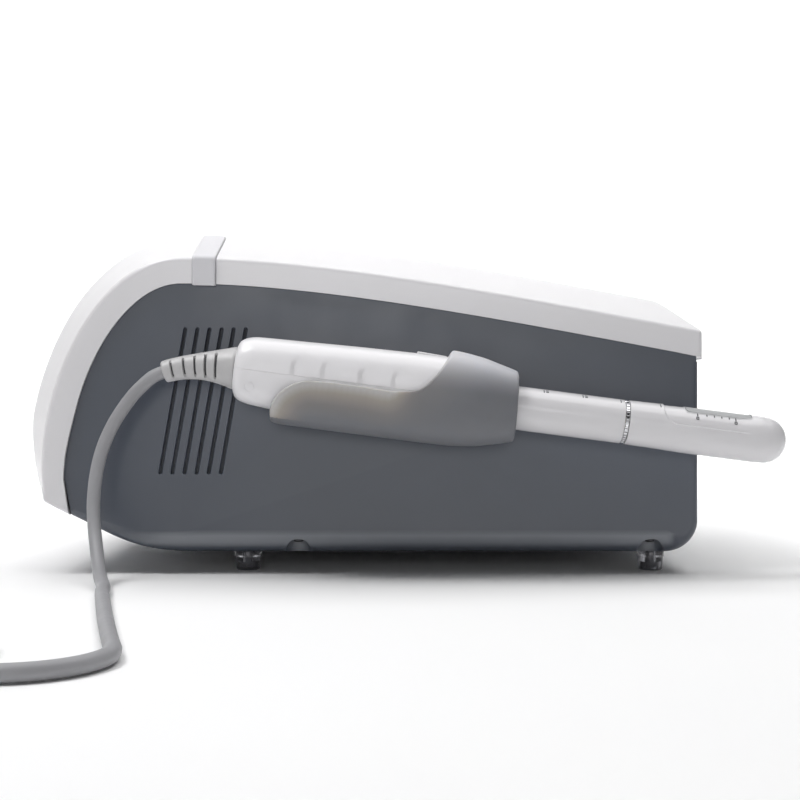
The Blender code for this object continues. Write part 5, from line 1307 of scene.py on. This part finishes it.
# ------------------------------------------------------------------ rear panel and its fittings
def rrect(y0, y1, z0, z1, r, seg=6):
    pts = []
    for cy, cz, a0 in ((y1 - r, z1 - r, 0), (y0 + r, z1 - r, 90), (y0 + r, z0 + r, 180), (y1 - r, z0 + r, 270)):
        for k in range(seg + 1):
            a = math.radians(a0 + 90.0 * k / seg)
            pts.append((cy + r * math.cos(a), cz + r * math.sin(a)))
    return pts


def plate(shape, steps, y, z, hy, hz, r):
    """Rounded rectangles stacked along X: steps are (x, inset)."""
    return shape.loft([[(x, a, c) for a, c in rrect(y - hy + q, y + hy - q, z - hz + q, z + hz - q, max(r - q, 0.3))] for x, q in steps])


def cross_recess(start, along, size=1.0):
    a = Vector(along)
    u = Vector((0, 1, 0)) if abs(a.y) < 0.9 else Vector((1, 0, 0))
    w = a.cross(u)
    arms = []
    for p, q in ((u, w), (w, u)):
        rings = []
        for t, k in ((-1.3, 0.55), (0.6, 1.0)):
            rings.append([Vector(start) + a * t + p * (i * 1.75 * size * k) + q * (j * 0.36 * size) for i, j in ((-1, -1), (1, -1), (1, 1), (-1, 1))])
        arms.append(Shape().loft(rings).make("cut"))
    return arms


PANELM = moulded("rear_panel_coat", (0.060, 0.063, 0.070), 0.55, vary=0.08, grain=1300.0, bump=0.35, depth=0.00008, cloud=10.0, fleck=0.12)
panel = plate(Shape(), [(PX - 1.8, 0.0), (PX - 0.3, 0.0), (PX, 0.3)], MID_Y, 91.5, 118.0, 46.5, 2.5).make("rear_panel_fine", PANELM)
cuts = plate(Shape(), [(PX - 5, 0.0), (PX + 5, 0.0)], INLET[0], INLET[1], 14.0, 10.3, 1.5)
plate(cuts, [(PX - 5, 0.0), (PX + 5, 0.0)], SWITCH[0], SWITCH[1], 11.0, 7.0, 1.0)
cuts.turned((PX - 5, SOCKET[0], SOCKET[1]), (1, 0, 0), [(0.0, 9.4), (10.0, 9.4)], 64)
for i in range(-4, 5):
    hgt = math.sqrt(max(37.0 ** 2 - (i * 8.0) ** 2, 0.0))
    plate(cuts, [(PX - 5, 0.0), (PX - 0.8, 0.0), (PX + 0.2, -0.5), (PX + 5, -0.5)], FAN[0] + i * 8.0, FAN[1], 2.6, hgt, 2.55)
carve(panel, cuts.make("cut"), smooth=35.0, weighted=True)
piece(panel, "console", "black_plastic", "rear_panel")
k = 0
for y in (-106.0, 106.0):
    for z in (56.0, 125.0):
        k += 1
        ps = Shape().turned((PX + GAP, MID_Y + y, z), (1, 0, 0), [(0.0, 3.1), (0.25, 3.2), (0.9, 3.15), (1.45, 2.75), (1.8, 2.05), (1.95, 1.0), (1.98, 0.2)], 48).make(f"panel_screw_{k}_fine", STEEL)
        carve(ps, *cross_recess((PX + GAP + 1.9, MID_Y + y, z), (1, 0, 0), 1.0), smooth=30.0)
        piece(ps, "console", "steel", f"panel_screw_{k}")
k = 0
for wx in WELL_X:
    for sgn in (-1, 1):
        k += 1
        hs = Shape().turned((wx, MID_Y + sgn * (HALF_W - WELL_INSET), WELL_TOP), (0, 0, 1),
                            [(-3.18, 0.3), (-3.15, 1.6), (-2.9, 2.7), (-2.3, 3.35), (-1.6, 3.5), (-0.35, 3.5), (-0.3, 3.4), (-0.29, 1.4), (4.1, 1.4), (4.2, 1.2)], 40).make(f"housing_screw_{k}_fine", DARK_STEEL)
        carve(hs, *cross_recess((wx, MID_Y + sgn * (HALF_W - WELL_INSET), WELL_TOP - 3.1), (0, 0, -1), 1.15), smooth=30.0)
        piece(hs, "console", "steel", f"housing_screw_{k}")

# mains inlet
inlet = plate(Shape(), [(PX - 24.0, 0.6), (PX - 23.4, 0.0), (PX + GAP + 0.05, 0.0)], INLET[0], INLET[1], 13.6, 9.9, 1.2)
inlet = inlet.make("mains_inlet_fine", BLACKP)
flange = plate(Shape(), [(PX + GAP, 0.0), (PX + 1.6, 0.0), (PX + 2.1, 0.25), (PX + 2.3, 0.7)], INLET[0], INLET[1], 15.5, 11.8, 4.0).make("cut")
carve(inlet, flange, op="UNION")
cav = Shape()
hexa = [(-11.8, -7.9), (11.8, -7.9), (11.8, 3.2), (7.4, 7.9), (-7.4, 7.9), (-11.8, 3.2)]
loops = []
for i, p in enumerate(hexa):
    a, c = hexa[i - 1], hexa[(i + 1) % 6]
    loops += fillet(a, p, c, 1.4, 4)
cav.loft([[(x, INLET[0] + u * q, INLET[1] + v * q) for u, v in loops] for x, q in ((PX - 15.0, 1.0), (PX + 1.6, 1.0), (PX + 2.4, 1.05), (PX + 9.0, 1.05))])
carve(inlet, cav.make("cut"), smooth=35.0, weighted=True)
piece(inlet, "console", "black_plastic", "mains_inlet")
pins = Shape()
for dy, dz in ((-7.0, -1.0), (0.0, 3.0), (7.0, -1.0)):
    plate(pins, [(PX - 16.0, 0.0), (PX - 5.4, 0.0), (PX - 4.5, 0.5)], INLET[0] + dy, INLET[1] + dz, 1.0, 2.0, 0.35)
piece(pins.make("inlet_pins", STEEL, smooth=30.0), "console", "steel")

# power switch
sw = plate(Shape(), [(PX - 20.0, 0.6), (PX - 19.4, 0.0), (PX + GAP + 0.05, 0.0)], SWITCH[0], SWITCH[1], 10.6, 6.6, 1.0).make("power_switch_fine", BLACKP)
rim = plate(Shape(), [(PX + GAP, 0.0), (PX + 1.3, 0.0), (PX + 1.7, 0.25), (PX + 1.9, 0.7)], SWITCH[0], SWITCH[1], 12.5, 8.4, 2.0).make("cut")
carve(sw, rim, op="UNION")
carve(sw, plate(Shape(), [(PX - 11.0, 0.0), (PX + 1.4, 0.0), (PX + 2.0, -0.45), (PX + 9.0, -0.45)], SWITCH[0], SWITCH[1], 9.6, 5.6, 0.6).make("cut"), smooth=35.0, weighted=True)
piece(sw, "console", "black_plastic", "power_switch_body")
RX, OFF = PX - 3.0, math.radians(-10.0)
side = [(-8.9, 2.0), (-8.95, 4.0), (-8.6, 6.0), (-8.2, 6.1), (-6.5, 5.3), (-4.4, 4.6), (-2.2, 4.15), (0.0, 4.0), (2.2, 4.15), (4.4, 4.6), (6.5, 5.3), (8.2, 6.1), (8.6, 6.0), (8.95, 4.0), (8.9, 2.0), (5.0, -3.0), (-5.0, -3.0)]
rings = []
for dz, q in ((-5.2, 0.35), (-5.1, 0.12), (-4.85, 0.0), (4.85, 0.0), (5.1, 0.12), (5.2, 0.35)):
    ring = []
    for u, v in side:
        u, v = u * (1 - q / 9.0), (v - 1.5) * (1 - q / 4.5) + 1.5
        ring.append((RX + u * math.sin(OFF) + v * math.cos(OFF), SWITCH[0] + u * math.cos(OFF) - v * math.sin(OFF), SWITCH[1] + dz))
    rings.append(ring)
rk = Shape().loft(rings).make("power_rocker_fine", BLACKP, smooth=32.0, weighted=True)
piece(rk, "rocker", "black_plastic", "power_rocker")

# handpiece socket: knurled nut, bore with an insulator and contacts
ring = []
prof = [(-20.0, 8.9), (GAP, 9.0), (GAP, 12.3), (0.7, 12.5), (2.6, 12.5), (3.0, 12.3), (3.6, 11.6), (6.6, 11.05), (7.0, 10.7), (7.0, 8.5), (6.6, 8.2), (-12.0, 8.2), (-12.0, 3.0), (-20.0, 3.0)]
for i in range(120):
    a = 2 * math.pi * i / 120
    q = Vector((0, 1, 0)) * math.cos(a) + Vector((0, 0, 1)) * math.sin(a)
    ring.append([Vector((PX + t, SOCKET[0], SOCKET[1])) + q * (r - (0.35 if 12.2 < r and i % 4 == 0 else 0.0)) for t, r in prof])
so = Shape().loft(ring, close=True).make("handpiece_socket_fine", CHROME, smooth=30.0)
piece(so, "console", "chrome", "handpiece_socket")
ins = Shape().turned((PX, SOCKET[0], SOCKET[1]), (1, 0, 0), [(-11.9, 8.0), (-9.3, 8.0), (-9.0, 7.7)], 48).make("socket_insulator", BLACKP, smooth=30.0)
piece(ins, "console", "black_plastic")
pins = Shape()
for i in range(7):
    a = 2 * math.pi * i / 7 + 0.3
    pins.turned((PX, SOCKET[0] + 4.9 * math.cos(a), SOCKET[1] + 4.9 * math.sin(a)), (1, 0, 0), [(-9.2, 0.65), (-4.2, 0.65), (-3.7, 0.25)], 16)
piece(pins.make("socket_contacts", BRASS, smooth=30.0), "console", "brass")

# fan: frame with a bell mouth, spokes and hub; rotor with curved blades
FX = PX - 2.4
fr = plate(Shape(), [(FX - 25.0, 0.4), (FX - 24.6, 0.0), (FX - 0.4, 0.0), (FX, 0.4)], FAN[0], FAN[1], 40.0, 40.0, 4.0).make("fan_frame_fine", BLACKP)
bore = Shape().turned((FX, FAN[0], FAN[1]), (1, 0, 0), [(-30.0, 38.6), (-25.0, 38.5), (-23.0, 38.05), (-2.0, 38.05), (0.0, 38.6), (5.0, 38.7)], 96)
for sy in (-1, 1):
    for sz in (-1, 1):
        bore.turned((FX, FAN[0] + sy * 35.75, FAN[1] + sz * 35.75), (1, 0, 0), [(-30.0, 2.1), (5.0, 2.1)], 24)
carve(fr, bore.make("cut"))
spokes = Shape().turned((FX - 23.9, FAN[0], FAN[1]), (1, 0, 0), [(0.0, 15.4), (0.3, 15.9), (3.0, 15.9), (3.2, 15.6)], 64)
sp = Shape()
for i in range(4):
    a = math.radians(90.0 * i)
    u, w = Vector((0, math.cos(a), math.sin(a))), Vector((0, -math.sin(a), math.cos(a)))
    c = Vector((0, FAN[0], FAN[1]))
    sp.loft([[c + u * r + w * h + Vector((x, 0, 0)) for h, x in ((-1.9, FX - 21.2), (-1.9, FX - 23.6), (1.9, FX - 24.0), (1.9, FX - 21.0))] for r in (14.0, 38.9)])
carve(fr, spokes.make("cut"), sp.make("cut2"), op="UNION", smooth=32.0)
piece(fr, "console", "black_plastic", "fan_frame")
rot = Shape().turned((FX, FAN[0], FAN[1]), (1, 0, 0), [(-20.0, 15.2), (-19.6, 15.8), (-4.6, 15.9), (-3.2, 15.2), (-2.3, 13.8), (-2.0, 12.0), (-2.0, 0.4)], 64).make("fan_rotor_fine", BLACKP)
bl = Shape()
for i in range(7):
    rings = []
    for j in range(7):
        f = j / 6
        r = 14.5 + 21.3 * f
        t = 2 * math.pi * i / 7 + 0.16 * f
        tw = 0.75 - 0.30 * f
        c = Vector((FX - 11.5, FAN[0] + r * math.cos(t), FAN[1] + r * math.sin(t)))
        tan, ax = Vector((0, -math.sin(t), math.cos(t))), Vector((1, 0, 0))
        u, w = ax * math.cos(tw) + tan * math.sin(tw), ax * -math.sin(tw) + tan * math.cos(tw)
        L = 8.0 + 0.9 * f
        arc = [(-1.0, 0.0), (-0.5, 0.85), (0.0, 1.15), (0.5, 0.85), (1.0, 0.0)]
        rings.append([c + u * (L * a) + w * (h + 0.45) for a, h in arc] + [c + u * (L * a) + w * (h - 0.45) for a, h in arc[::-1]])
    bl.loft(rings)
carve(rot, bl.make("cut"), op="UNION", smooth=32.0)
piece(rot, "rotor", "black_plastic", "fan_rotor")


# ------------------------------------------------------------------ floor and light
prof = [(-6000.0, 0.0), (1400.0, 0.0)]
for i in range(1, 13):
    a = math.radians(90.0 * i / 12)
    prof.append((1400.0 + 900.0 * math.sin(a), 900.0 * (1 - math.cos(a))))
prof.append((2300.0, 5000.0))
me = bpy.data.meshes.new("floor")
me.from_pydata([(x * 6.0, y * MM, z * MM - 0.00005) for y, z in prof for x in (-1, 1)], [], [(2 * i, 2 * i + 1, 2 * i + 3, 2 * i + 2) for i in range(len(prof) - 1)])
me.shade_smooth()
floor = bpy.data.objects.new("floor", me)
bpy.context.scene.collection.objects.link(floor)
FLOORM, nt, b = new_material("floor_paper")
tc = nt.nodes.new("ShaderNodeTexCoord").outputs["Object"]
fn = noise(nt, 3.0, 2.0, 0.5, tc)
nt.links.new(ramp(nt, fn.outputs["Fac"], [(0.3, (0.945, 0.945, 0.95)), (0.7, (0.96, 0.96, 0.96))]).outputs["Color"], b.inputs["Base Color"])
b.inputs["Roughness"].default_value = 0.9
b.inputs["Specular IOR Level"].default_value = 0.1
me.materials.append(FLOORM)

bpy.context.scene.view_settings.view_transform = "Standard"
world = bpy.data.worlds.new("studio")
bpy.context.scene.world = world
world.use_nodes = True
bg = world.node_tree.nodes["Background"]
bg.inputs["Strength"].default_value = 1.0
wt = world.node_tree
sky = wt.nodes.new("ShaderNodeSeparateXYZ")
wt.links.new(wt.nodes.new("ShaderNodeTexCoord").outputs["Generated"], sky.inputs["Vector"])
wt.links.new(ramp(wt, sky.outputs["Z"], [(0.16, (0.44, 0.44, 0.44)), (0.40, (0.05, 0.05, 0.05))]).outputs["Color"], bg.inputs["Color"])


def softbox(name, place, target, size, power):
    l = bpy.data.lights.new(name, "AREA")
    l.shape, l.size, l.size_y, l.energy = "RECTANGLE", size[0], size[1], power
    o = bpy.data.objects.new(name, l)
    o.location = place
    o.rotation_mode = "QUATERNION"
    o.rotation_quaternion = (Vector(target) - Vector(place)).to_track_quat("-Z", "Y")
    bpy.context.scene.collection.objects.link(o)
    return o


softbox("top_light", (0.0, 0.1, 1.9), (0.0, 0.1, 0.0), (2.4, 2.0), 33.0)
softbox("key_light", (-0.70, -0.45, 1.35), (-0.05, -0.12, 0.15), (0.6, 0.5), 8.0)
softbox("front_light", (-0.05, -3.0, 0.64), (0.0, -0.1, 0.15), (1.2, 0.6), 5.5)
softbox("back_light", (0.0, 0.9, 1.6), (0.0, 2.3, 0.7), (2.6, 0.8), 36.0)
